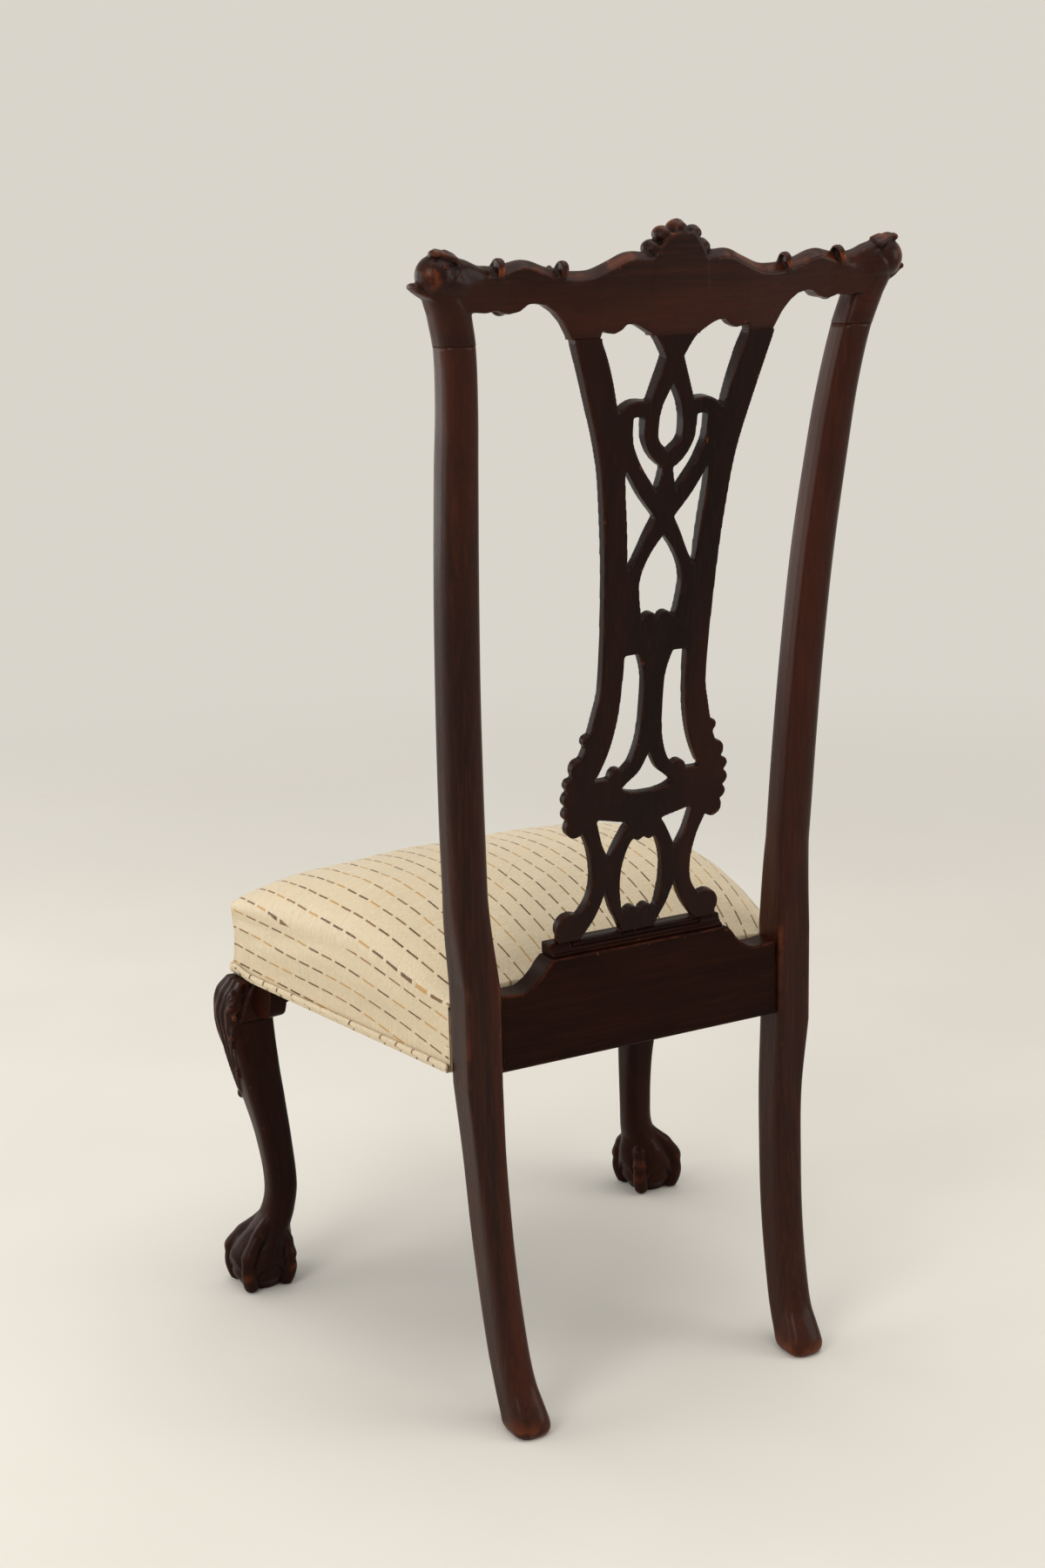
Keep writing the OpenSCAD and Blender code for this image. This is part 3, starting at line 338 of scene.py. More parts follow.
def outline_prism(outline, depth, bevel, steps=3):
    """A slab with rounded edges over an outline that runs anticlockwise, from 0 to depth."""
    p = np.asarray(outline, float)
    a, b = np.roll(p, 1, 0) - p, np.roll(p, -1, 0) - p
    a /= norm(a, axis=1)[:, None]
    b /= norm(b, axis=1)[:, None]
    na = columns([-a[:, 1], a[:, 0]])
    nb = columns([b[:, 1], -b[:, 0]])
    m = -(na + nb) / np.maximum(((na + nb) * nb).sum(1), .5)[:, None]
    n, rings = len(p), []
    turns = [pi / 2 * k / steps for k in range(steps + 1)]
    for z, sign, seq in ((0, 1, turns), (depth, -1, turns[::-1])):
        for t in seq:
            height = np.full(n, z + sign * bevel * (1 - cos(t)))
            rings.append(columns([p + m * bevel * (1 - sin(t)), height]))
    faces = loft(rings)[1][:(len(rings) - 1) * n]
    faces += [tuple(range(n - 1, -1, -1)), tuple(range((len(rings) - 1) * n, len(rings) * n))]
    return np.concatenate(rings), faces


# ---- materials
class Nodes:
    """A node tree, where each method adds a node and gives its output."""

    def __init__(self, tree):
        self.tree = tree
        tree.nodes.clear()

    def new(self, kind, **settings):
        node = self.tree.nodes.new("ShaderNode" + kind)
        for key, value in settings.items():
            setattr(node, key, value)
        return node

    def link(self, output, socket):
        self.tree.links.new(output, socket)

    def fed(self, node, values, output=0):
        """The node's output, with a link or a number for each named input."""
        for key, value in values:
            if isinstance(value, bpy.types.NodeSocket):
                self.link(value, node.inputs[key])
            else:
                node.inputs[key].default_value = value
        return node.outputs[output] if node.outputs else None

    def math(self, operation, *values):
        return self.fed(self.new("Math", operation=operation), enumerate(values))

    def mul(self, a, b):
        return self.math("MULTIPLY", a, b)

    def add(self, a, b):
        return self.math("ADD", a, b)

    def sub(self, a, b):
        return self.math("SUBTRACT", a, b)

    def span(self, *values):
        """A value eased from one range to another, by default 0 to 1."""
        values = (*values, 0, 1.0)[:5]
        return self.fed(self.new("MapRange", interpolation_type="SMOOTHSTEP"), enumerate(values))

    def blend(self, factor, a, b):
        a, b = ((*v, 1) if isinstance(v, tuple) else v for v in (a, b))
        return self.fed(self.new("Mix", data_type="RGBA"), ((0, factor), (6, a), (7, b)), 2)

    def coord(self, kind="Object"):
        return self.new("TexCoord").outputs[kind]

    def parts(self, vector):
        node = self.new("SeparateXYZ")
        self.link(vector, node.inputs[0])
        return node.outputs

    def noise(self, scale, source=None, detail=4, rough=.55, distortion=0):
        """Noise with its own scale along each axis."""
        place = self.fed(self.new("Mapping"), ((0, source or self.coord()), ("Scale", scale)))
        return self.fed(self.new("TexNoise"), (("Vector", place), ("Scale", 1), ("Detail", detail),
                                               ("Roughness", rough), ("Distortion", distortion)), "Fac")

    def random(self, value):
        return self.fed(self.new("TexWhiteNoise", noise_dimensions="1D"), (("W", value),), "Value")

    def attribute(self, name, output="Fac"):
        return self.new("Attribute", attribute_name=name).outputs[output]


class Finish(Nodes):
    """A material with one shader."""

    def __init__(self, name):
        self.material = bpy.data.materials.new(name)
        self.material.use_nodes = True
        super().__init__(self.material.node_tree)
        self.shader = self.new("BsdfPrincipled")
        self.link(self.shader.outputs[0], self.new("OutputMaterial").inputs[0])

    def ends(self, **inputs):
        """Each named input of the shader, as a number on its own socket or a link."""
        self.fed(self.shader, ((key.replace("_", " "), value) for key, value in inputs.items()))

    def bump(self, height, distance, strength):
        node = self.new("Bump")
        self.ends(Normal=self.fed(node, (("Distance", distance), ("Strength", strength), ("Height", height))))


DARK, RED = (.014, .0042, .0025), (.045, .0108, .005)
# The rubbed orange also paints the highlight along the crest's top edge.
WARM, WEAR_AND_HIGHLIGHT, SOOT = (.07, .018, .008), (.2, .048, .016), (.007, .003, .002)


def mahogany(name, grain, tone=1.0, wear=1.0, gloss=1.0):
    """Old polished mahogany: grain along one axis, dark in the carving, orange where it is rubbed and as a
    painted highlight on the crest's top edge; its tone makes lighter and darker copies.
    """
    g = Finish(name)
    axis = [.06 if k == grain else 1.0 for k in "xyz"]
    dark, red, warm = (tuple(tone * c for c in colour) for colour in (DARK, RED, WARM))
    broad = g.noise([14 * a for a in axis], detail=3, distortion=.4)
    lines = g.noise([260 * a for a in axis], detail=5, rough=.62, distortion=.25)
    pores = g.noise([900 * a for a in axis], detail=2, rough=.5)
    cloud = g.noise((9, 9, 9))
    colour = g.blend(g.span(broad, .3, .72), dark, red)
    colour = g.blend(g.span(lines, .42, .85, 0, .5), colour, warm)
    colour = g.blend(g.mul(g.span(pores, .6, .74), .5), colour, SOOT)
    colour = g.blend(g.mul(g.span(cloud, .5, .68), .35), colour, dark)
    relief = g.attribute("relief")
    # Rubbed from the edges and from the worn attribute, which on the crest's top edge is a painted highlight.
    rubbed_and_highlight = g.add(g.mul(relief, .38), g.attribute("worn"))
    rubbed_and_highlight = g.mul(rubbed_and_highlight, g.span(g.noise((60, 60, 60), detail=5), .34, .62, .35, 1.1))
    nick = g.span(g.noise((170, 170, 60), detail=3), .66, .72)
    nick = g.mul(nick, g.span(relief, .1, .4, 0, .9))
    amount = g.math("MAXIMUM", g.span(rubbed_and_highlight, .12, .95), nick)
    colour = g.blend(g.mul(amount, .85 * wear), colour, WEAR_AND_HIGHLIGHT)
    deep = g.span(relief, -.12, -.75)
    colour = g.blend(g.mul(deep, .8), colour, (.006, .003, .002))
    dull = g.add(g.span(cloud, .3, .7, .28, .4), g.mul(deep, .25))
    g.ends(Base_Color=colour, Roughness=g.sub(dull, g.mul(amount, .06)), Specular_IOR_Level=.08 * gloss,
           Coat_Weight=.08 * gloss, Coat_Roughness=.12)
    height = g.sub(g.mul(lines, .5), g.span(pores, .58, .74))
    g.bump(g.add(height, g.mul(cloud, 1.5)), .00022, .6)
    return g.material


def beech(name):
    """Pale unpolished frame wood."""
    g = Finish(name)
    rings = g.noise((90, 8, 140), detail=5, distortion=.5)
    fleck = g.noise((900, 120, 900), detail=2)
    colour = g.blend(g.span(rings, .3, .7), (.42, .26, .13), (.58, .4, .22))
    colour = g.blend(g.mul(g.span(fleck, .58, .7), .5), colour, (.25, .13, .06))
    g.ends(Base_Color=colour, Roughness=g.span(rings, .2, .8, .55, .72))
    g.bump(g.add(rings, fleck), .0002, .6)
    return g.material


def steel(name, dark, rust):
    """Worn steel with a little rust."""
    g = Finish(name)
    spots = g.noise((400, 400, 400), detail=5)
    g.ends(Base_Color=g.blend(g.span(spots, .48, .7), dark, rust), Metallic=.85,
           Roughness=g.span(spots, .3, .7, .32, .6))
    g.bump(spots, .0001, .5)
    return g.material


def plain_weave(name, dark, light, pitch, stripes=None):
    """Crossing yarns at a real pitch, with slubs."""
    g = Finish(name)
    x, y = g.parts(g.coord())[:2]
    turn = 2 * pi / pitch
    cross = g.mul(g.math("SINE", g.mul(x, turn)), g.math("SINE", g.mul(y, turn)))
    mixed = g.add(g.mul(cross, .35), g.add(g.noise((60, 900, 60)), g.noise((900, 60, 60))))
    colour = g.blend(g.span(mixed, .65, 1.4), dark, light)
    if stripes:
        edge = g.math("ABSOLUTE", g.math("SINE", g.mul(x, pi / stripes)))
        colour = g.blend(g.mul(g.span(edge, .97, 1.0), .4), colour, dark)
    g.ends(Base_Color=colour, Roughness=.85)
    g.bump(mixed, pitch * .35, .8)
    return g.material


ROW, DASH = .0185, .024


def seat_cloth(name):
    """Cream slub silk with rows of woven dashes. The cloth attribute holds metres across and along."""
    g = Finish(name)
    cloth = g.attribute("cloth", "Vector")
    u, v = g.parts(cloth)[:2]
    sway = g.mul(g.sub(g.noise((14, 14, 1), cloth, 2), .5), .0007)
    row = g.math("DIVIDE", g.add(u, sway), ROW)
    index = g.math("FLOOR", row)
    off = g.math("ABSOLUTE", g.sub(g.math("FRACT", row), .5))
    run = g.add(g.math("DIVIDE", v, DASH), g.random(index))
    dash, part = g.math("FLOOR", run), g.math("FRACT", run)
    pick = g.random(g.add(g.mul(index, 17.3), g.mul(dash, 3.7)))
    width = g.mul(g.span(g.noise((700, 700, 1), cloth, 2), .3, .7, .8, 1.1), .06)
    on = g.span(g.sub(width, off), 0, .012)
    on = g.mul(g.mul(on, g.span(part, .02, .05)), g.span(part, .82, .78))
    weft = g.noise((220, 2600, 1), cloth, 5, .65)
    warp = g.noise((2600, 220, 1), cloth, 4, .6)
    slub = g.noise((16, 1500, 1), cloth, 4, .6)
    grime = g.noise((7, 7, 7), detail=5)
    base = g.blend(g.span(weft, .3, .7), (.52, .405, .245), (.74, .63, .445))
    for value, low, high, share, tint in (
            (slub, .52, .72, .55, (.8, .71, .54)), (slub, .46, .3, .45, (.42, .32, .19)),
            (warp, .55, .72, .25, (.42, .32, .2)), (grime, .5, .75, .18, (.46, .35, .21))):
        base = g.blend(g.mul(g.span(value, low, high), share), base, tint)
    thread = g.blend(g.span(pick, .3, .42), (.105, .03, .002), (.2, .098, .022))
    thread = g.blend(g.span(pick, .66, .78), thread, (.48, .27, .075))
    worn = g.span(g.noise((900, 300, 1), cloth, 3), .25, .6, .78, 1.0)
    g.ends(Base_Color=g.blend(g.mul(on, worn), base, thread), Roughness=g.span(weft, .2, .8, .32, .46),
           Specular_IOR_Level=.25, Sheen_Weight=.08, Sheen_Roughness=.45)
    height = g.add(g.mul(weft, 1.0), g.mul(slub, .8))
    g.bump(g.add(height, g.add(g.mul(warp, .5), g.mul(on, .5))), .00035, .8)
    return g.material


# The tone of each copy is painted light and shade. The splat and the cross pieces (shoe, rear rail and knee
# brackets) are darker copies as painted shade, and the uprights are a slightly lighter copy as painted light.
# The front legs are also a darker copy.
WOOD_Z = mahogany("Mahogany_upright", "z", 1.12)
WOOD_LEG = mahogany("Mahogany_leg", "z", .5, .6, .6)
SPLAT_WOOD_PAINTED_SHADE = mahogany("Mahogany_splat_painted_shade", "z", .46, .6, .8)
WOOD_CREST = mahogany("Mahogany_crest", "x", 1.0)
CROSS_WOOD_PAINTED_SHADE = mahogany("Mahogany_cross_painted_shade", "x", .5, .8, .4)
FRAME_WOOD = beech("Beech_frame")
SEAT_CLOTH = seat_cloth("Slub_silk_dashes")
SCREW_STEEL = steel("Screw_steel", (.32, .3, .28), (.22, .1, .05))
TACK_STEEL = steel("Tack_steel", (.16, .15, .14), (.14, .06, .03))
HESSIAN = plain_weave("Hessian_weave", (.2, .12, .05), (.46, .33, .17), .0022)
WEBBING = plain_weave("Jute_webbing", (.22, .14, .07), (.55, .42, .25), .0016, stripes=.05)
CAMBRIC = plain_weave("Black_cambric", (.008, .008, .009), (.035, .034, .034), .0009)


def finish_piece(obj, mat, slot, *nodes):
    """The piece's material, and the nodes that it stands for; the slot is not used."""
    obj.data.materials.clear()
    obj.data.materials.append(mat)
    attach(obj, "root")
    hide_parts(*nodes)
    return obj


def dress_node(node, mat):
    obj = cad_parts[node]
    if not obj.data.materials:
        obj.data.materials.append(mat)
    for slot in obj.material_slots:
        slot.material = mat


# ---- rear posts
# Rows of height, outward, rearward, width and depth, as shares.
POST_LOWER = [[0, 1.06, 1.01, 1.16, 1.06], [.04, 1.03, .948, 1.06, 1.14], [.08, .99, .812, .98, 1.165],
              [.13, .936, .644, .9, 1.11], [.2, .851, .507, .866, 1.1], [.3, .771, .367, .84, 1.12],
              [.42, .669, .235, .815, 1.14], [.56, .529, .124, .825, 1.09], [.78, .327, .01, .87, .99],
              [1, 0, 0, 1, 1]]
POST_UPPER = [[0, 0, 0, 1, 1], [.105, .116, -.01, 1.02, .97], [.205, .19, .03, 1.03, .98],
              [.305, .255, .083, 1.02, .98], [.455, .35, .19, 1, .96], [.62, .46, .36, .98, .95],
              [.785, .6, .6, .94, .91], [.867, .68, .743, .9, .88], [.95, .84, .904, .89, .85],
              [1, 1.05, 1, .93, .84]]
POST_AXIS = (SEAT_REAR_WIDTH - POST_WIDTH) / 2 - COVER
POST_MIDDLE = (POST_FRONT + POST_BACK) / 2
ZONE_LOW, ZONE_HIGH, SHOULDER_TOP = 332.0, 426.0, CREST_JOINT + 26
LEG_INWARD, LEG_RAKE, LEG_DEPTH = 14.8, 53, 37.24
STILE_OUTWARD, STILE_LEAN = 36.2, 66.6
FOOT_ROUNDING, FOOT_INSET = 12, 6.5


def post_section(z):
    """The outline of a rear post at a height: square at the seat, with a rounded back above it."""
    a = circle_angles(72)
    rows, t = POST_LOWER, z / ZONE_LOW
    if z > ZONE_LOW:
        rows, t = POST_UPPER, max(0, z - ZONE_HIGH) / (SHOULDER_TOP - ZONE_HIGH)
    out, rear, wide, deep = (float(smooth_at(rows, t, k)) for k in (1, 2, 3, 4))
    if z > ZONE_LOW:
        x, y, depth = POST_AXIS + STILE_OUTWARD * out, POST_MIDDLE + STILE_LEAN * rear, POST_DEPTH
        s = min(1, 7 * t)
        front, back = 14 - 9 * s, 1 / (.0714 + .3634 * s)
    else:
        x, y, depth = POST_AXIS - LEG_INWARD * out, POST_MIDDLE + LEG_RAKE * rear, LEG_DEPTH
        front, back = 7, 2.8 + 11.2 * t ** 4
    r = np.where(np.sin(a) > 0, square_reach(a, back), square_reach(a, front)) / 2
    return columns([x + POST_WIDTH * wide * r * np.cos(a), y + depth * deep * r * np.sin(a),
                            np.full(len(a), float(z))])


def post_worn(p):
    z = p[:, 2]
    return ramp(z, 30, -30) * .55 + bell(z, 380, 60) * .15 - bell(z, CREST_JOINT, 4)


def rear_post(name, node, side):
    rings = []
    for z in (0, .3, .9, 1.8, 3, 4.6, 6.6, 9, 12):
        inset = FOOT_INSET * (1 - sqrt(1 - (1 - z / FOOT_ROUNDING) ** 2))
        rings.append(resized(post_section(z), 1 - inset / (POST_WIDTH / 2)))
    rings += [post_section(z) for z in np.linspace(15, ZONE_LOW, 88)]
    rings += [post_section(z) for z in np.linspace(ZONE_HIGH, CREST_JOINT - .05, 146)]
    obj = solid(name, *(loft(rings) if side > 0 else flipped(loft(rings))))
    shaded(obj, post_worn, 2.2, 6)
    finish_piece(obj, WOOD_Z, "mahogany", node)


rear_post("post_left", "rear_post_left", 1)
rear_post("post_right", "rear_post_right", -1)

# ---- crest rail
# Rows of a share of the half width, and a share of the rail's height, board or lip.
CREST_UNDER = [[0, 0], [.093, 0], [.122, .045], [.15, .085], [.175, .108], [.205, .108], [.224, .06],
               [.252, .03], [.285, .045], [.303, .07], [.308, 0], [.416, 0], [.451, .15], [.484, .243],
               [.52, .305], [.561, .326], [.587, .321], [.62, .262], [.659, .243], [.69, .262],
               [.703, .28], [.748, .262], [.79, .275], [.86, .285], [.9, .34]]
CREST_OVER = [[0, .7], [.15, .731], [.211, .731], [.276, .663], [.346, .596], [.407, .588],
              [.46, .602],               [.52, .638], [.569, .684], [.61, .7], [.65, .682], [.7, .655],
              [.745, .662], [.79, .679],               [.84, .705], [.87, .725], [.9, .7]]
CREST_THICK = [[0, .8], [.12, .8], [.22, 1], [.4, 1.05], [.66, 1.1], [.8, 1.35], [.9, 1.45]]
CREST_BACK = [[0, 0], [.3, .05], [.66, .32], [.85, .26], [.9, .2]]
CREST_LIP = [[0, .95], [.12, .95], [.22, .66], [.44, .66], [.55, .85], [.66, 1], [1, 1]]
CREST_ROUND = [[0, 7], [.3, 8], [.42, 9], [.5, 8], [.61, 7], [.7, 9], [.79, 14], [.9, 17]]
CREST_HALF, CREST_END = 244.0, .9


def crest_top(x):
    s = np.minimum(np.abs(x) / CREST_HALF, CREST_END)
    return CREST_JOINT + CREST_HEIGHT * smooth_at(CREST_OVER, s, 1)


def crest_section(x):
    """The rail's outline across its thickness, as depths from the back and heights."""
    s = min(abs(x) / CREST_HALF, CREST_END)
    z0 = CREST_JOINT + CREST_HEIGHT * table(CREST_UNDER, s)
    z0 -= 4 if z0 < CREST_JOINT + .2 else 0
    z1 = float(crest_top(x))
    t, back = CREST_BOARD * table(CREST_THICK, s), CREST_BOARD * table(CREST_BACK, s)
    lip, drop = t * table(CREST_LIP, s), table(CREST_ROUND, s)
    front, tip = t * .42, z1 - 11
    pts = [(.9, z0 + .1), (.1, z0 + 1.4)]
    pts += [(0, z0 + 1.4 + (z1 - z0 - 1.4 - drop) * k / 8) for k in range(1, 9)]
    turns = [sin(k * pi / 10) for k in range(1, 6)]
    pts += [(.5 + front * k, z1 - drop * (1 - k) ** 1.35) for k in turns]
    turns = [k * pi / 12 for k in range(1, 7)]
    pts += [(front + .5 + (t * .58 - .5) * sin(k), z1 - 11 * (1 - cos(k))) for k in turns]
    for u in np.arange(1, 8) / 8:
        pts.append((t + (lip - t) * u - .8 * sin(pi * u), tip + (z0 + 5 - tip) * u))
    pts += [(lip - 1.2, z0 + 2), (lip - 3.5, z0 + .4), (lip * .5, z0)]
    return np.array([(float(x), back_y(z) - back - d, z) for d, z in pts])


def on_back(x, z, depth=0):
    return np.array([x, back_y(z) - depth, z])


def rod(points, radii, **more):
    """A tube through places given by x, height and depth from the back."""
    return tube([on_back(*p) for p in points], radii, **more)


def leaf_curl(x, rows):
    """A leaf tip that arches over the top edge and curls down on to the back face."""
    strap = rod([(x + dx, z, d) for dx, z, d in rows], [1.0, 1.4, 1.5, 1.5, 1.5, 1.4, 1.0], squash=2.2,
                up=(1, 0, 0), square=3)
    top = max(rows, key=lambda q: q[1])
    return [strap, ball(on_back(x + 1.2, top[1] - 7, top[2] - 2.5), (2.2, 6.5, 6.0), TURN.T)]


def plate(rows, thick, tilt=0):
    """A leaf plate along rows of x, z and the depths of its two long edges."""
    fine = np.linspace(0, 1, 22)
    rows = columns([np.linspace(0, 1, len(rows)), np.asarray(rows, float)])
    x, z, low, high = (smooth_at(rows, fine, k) for k in (1, 2, 3, 4))
    dx, dz = np.gradient(x), np.gradient(z)
    size = np.hypot(dx, dz)
    a = circle_angles(20)
    reach = square_reach(a, 3.6)
    rings = []
    for k, s in enumerate(fine):
        end = min(1, .45 + 10.5 * min(s, 1 - s))
        side = (high[k] - low[k]) / 2 * end ** .3 * reach * np.cos(a)
        up = thick * end * reach * np.sin(a) + tilt * side
        pz = z[k] + up * dx[k] / size[k]
        rings.append(columns([x[k] - up * dz[k] / size[k], back_y(pz) - (low[k] + high[k]) / 2 - side, pz]))
    return loft(rings)


SOCKET = ((188, 1044, 9, 20), (197, 1048.5, 13.4, 20), (204, 1051.8, 15.8, 19.6),
          (210, 1054.6, 16.9, 19.2), (215, 1057.1, 17.6, 18.9), (216.6, 1058, 17.0, 18.9),
          (216.8, 1058.1, 15, 18.9))
NECK = ((182, 1058.5, 16), (193, 1060.8, 16.5), (203, 1063.2, 17.2), (211, 1064.6, 18))
FLAP = ((208.6, 1073.2, 4, 20), (214, 1075.8, 5, 20), (221, 1078.3, 7, 20), (226, 1079.6, 8, 20),
        (229, 1079.9, 9, 19.5))
FLAP_TOP = ((210, 1077.4, 12, 22), (215, 1079.6, 12.5, 21), (219.5, 1081.5, 13.5, 19.5))
FLAP_ROLL = ((229.4, 1078.9, 9.5), (230.2, 1079.2, 14), (229.2, 1078.9, 19))
LIP = ((222, 1041, 10, 33), (228, 1043.7, 9, 34), (234, 1046.8, 10, 33), (240, 1050.1, 13, 30),
       (243.4, 1052, 16, 28))
LIP_ROLL = ((243.4, 1053.2, 15), (244.0, 1053.7, 21.5), (243.2, 1053.2, 28.5))
SHOULDER = ((212.6, 227.6, 1038, .98), (215.8, 229, 1045, .94), (218, 230.6, 1051, .84))


def ear():
    """A ball held in a socket on the end of the crest rail, between a leaf above and a lip below."""
    a = circle_angles(40)
    circle = np.outer(np.cos(a), [-.585, 0, .81]) + np.outer(np.sin(a), [0, 1, 0])
    rings = [resized(post_section(z), 1.02) for z in np.linspace(CREST_JOINT - 4, SHOULDER_TOP, 16)]
    last = rings[-1] - rings[-1].mean(0)
    rings += [last * [share, share, 1] + (x, y, z) for x, y, z, share in SHOULDER]
    return [ball(on_back(224.5, 1061.5, 18.5), (17.6, 17.4, 17.6), rows=24, sides=36),
            loft([on_back(x, z, d) + r * circle for x, z, r, d in SOCKET]),
            rod(NECK, [7.0, 9.6, 11.6, 11.8], sides=28),
            plate(FLAP, 2.8, .3), plate(FLAP_TOP, 1.5, .2), rod(FLAP_ROLL, [3.0, 3.5, 3.0]),
            plate(LIP, 2.6), rod(LIP_ROLL, [2.8, 3.2, 2.8]), loft(rings)]


CURL_OUTER = [(1, 1060, 26), (0, 1070.0, 20), (-.5, 1072.6, 14), (-.5, 1070.4, 8.5), (.3, 1065.5, 5.2),
              (1.2, 1061, 4.4), (2, 1057, 6.4)]
CURL_INNER = [(1, 1056, 22), (0, 1066.0, 16), (-.5, 1068.6, 10.4), (-.5, 1066.6, 5.6), (.3, 1062, 2.8),
              (1.2, 1058.5, 2.2), (2, 1055, 4.4)]
SHELL = ((0, 1101.2, 9.6), (15.4, 1095.8, 7.4), (24.8, 1084.8, 8.0))
SHELL_PANEL = [(-30, 1040), (30, 1040), (26.5, 1069), (18.2, 1082), (11.8, 1089.5), (-11.8, 1089.5),
               (-18.2, 1082), (-26.5, 1069)]
BEADS = ((164.5, 1035.0, 8.6), (136, 1042, 7), (190, 1036, 6.0))
TENDRILS = (([(38, 1062, 20), (62, 1052, 24), (90, 1046, 25), (112, 1052, 24), (118, 1064, 21)],
            [3.0, 4.2, 4.8, 4.0, 2.6]), ([(122, 1052, 23), (140, 1058, 25), (160, 1056, 27),
            (176, 1046, 28), (184, 1036, 27)], [2.6, 4.4, 5.0, 4.0, 2.4]), ([(186, 1064, 27),
            (202, 1058, 31), (214, 1048, 32), (218, 1036, 29)], [2.6, 4.6, 4.8, 2.4]))
CREST_STEPS = np.array([22.69, 23.0, 75.1, 75.16, 101.5, 101.75])


def crest_wear_and_highlight(p):
    """Rubbed on the ball, the leaf over it and the shell's top; along the top edge behind, a painted
    highlight with some wear.
    """
    x, y, z = np.abs(p[:, 0]), p[:, 1], p[:, 2]
    off = norm(columns([x, y, z]) - (233, 248, 1060), axis=1)
    patch = bell(off, 0, 10) * .8 * ramp(x, 222, 10)
    flap = bell(x, 220, 8) * bell(z, 1080, 4) * .5
    shell = ramp(z, 1080, 14) * (x < 45) * .3
    behind = ramp(y - back_y(z), -13, 5) * ramp(x, 40, 8) * ramp(x, 196, -10)
    # Along the top edge behind: a painted highlight of the rounded edge, with some wear.
    top = bell(z - crest_top(x), -4, 3.5) * behind * .5
    return np.maximum.reduce([patch, flap, shell, top]) - bell(z, CREST_JOINT, 4)


def crest():
    steps = np.unique(np.concatenate([np.linspace(-214, 214, 361), CREST_STEPS, -CREST_STEPS]))
    parts = [loft([crest_section(x) for x in steps])]
    for x, top, r in SHELL:
        z = top - r
        for x in ((x, -x) if x else (x,)):
            parts.append(rod([(x, z, .62 * r + 3.0), (x, z, r + 3.4), (x, z + .2, 15.5)],
                             [r * .8, r, r * .96], sides=28, up=(0, 0, 1)))
            parts.append(rod([(x, z, 12), (x * .8, z - 9, 17.5), (x * .5, 1056, 19), (x * .25, 1046, 17.5)],
                             [r * .75, r * .62, r * .42, 2.4]))
    v, f = outline_prism(SHELL_PANEL, 14, 1.2)
    parts.append((columns([v[:, 0], back_y(v[:, 1]) - v[:, 2], v[:, 1]]), f))
    half = ear() + leaf_curl(170.5, CURL_OUTER) + leaf_curl(112, CURL_INNER)
    half += [rod([(x, z, 16), (x, z, 19), (x - 1, z, 26)], [r * .9, r, r * .8], sides=20)
             for x, z, r in BEADS]
    half += [rod(points, radii) for points, radii in TENDRILS]
    half += [rod([(x, 1056 - 1.5 * k, 24), (x + 8, 1040, 20), (x + 6, 1026, 16)], [2.8, 3.4, 1.6])
             for k, x in enumerate(range(50, 115, 13))]
    obj = fuse("crest", parts + half + [flipped(p) for p in half], 1.1, 2, leaning=True)
    trimmed(obj, CREST_JOINT + .06)
    v = points_of(obj.data)
    x = np.abs(v[:, 0])
    neck = ramp(x, 180, 6) * ramp(x, 210, -6) * ramp(v[:, 2], 1036, 6)
    set_points(obj.data, v + (relax(v, edges_of(obj.data), 30) - v) * neck[:, None])
    shaded(obj, crest_wear_and_highlight, .55, 12)
    finish_piece(obj, WOOD_CREST, "mahogany", "crest_rail")


crest()


# ---- splat, shoe and rear rail
def softened(name, node, voxel, rounds, mat, leaning=False, worn=None, level=None):
    """A node's own form with its edges softened, and its head cut off at a level."""
    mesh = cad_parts[node].data
    v = points_of(mesh)
    if level:
        v[np.abs(v[:, 2] - level) < .6] += (0, 4 * tan(LEAN), 4)
    obj = fuse(name, [(v, [tuple(p.vertices) for p in mesh.polygons])], voxel, rounds, leaning)
    if level:
        trimmed(obj, level, True)
    shaded(obj, worn, .5, 10)
    finish_piece(obj, mat, "mahogany", node)


softened("splat_pierced", "splat", 1.15, 2, SPLAT_WOOD_PAINTED_SHADE, True, level=CREST_JOINT)
softened("shoe", "splat_shoe", .9, 2, CROSS_WOOD_PAINTED_SHADE)
softened("rear_seat_rail", "rear_rail", 1.3, 2, CROSS_WOOD_PAINTED_SHADE)
for place in ("side_left", "side_right", "front_left", "front_right"):
    softened("bracket_" + place, "knee_block_" + place, .9, 3, CROSS_WOOD_PAINTED_SHADE,
             worn=lambda p: np.clip((p[:, 2] - 300) / 60, 0, .1))

# ---- front legs
# Rows of height, then inward, rearward and half width as shares of the knee, and squareness.
LEG = [[0, .12, .53, .62, 2], [.1, .12, .53, .62, 2], [.17, .26, .59, .46, 2.1],
       [.24, .475, .69, .335, 2.5], [.33, .55, .77, .31, 2.8], [.48, .48, .69, .327, 3.4],
       [.61, .35, .6, .378, 4], [.73, .225, .5, .44, 5], [.87, .15, .29, .5, 9],
       [.955, .19, .32, .47, 12], [1, .28, .4, .37, 14]]
CARVED = [[206, 10], [212, 26], [226, 50], [245, 68], [280, 89], [297, 101], [313, 108], [327, 115],
          [340, 124]]
WEB = ((0, 25), (0, 31.6), (.03, 32.8), (.14, 33), (.35, 32), (.55, 29.6), (.75, 25.6), (1, 20.4),
       (1.25, 17.6), (1.5, 15), (1.6, 8))
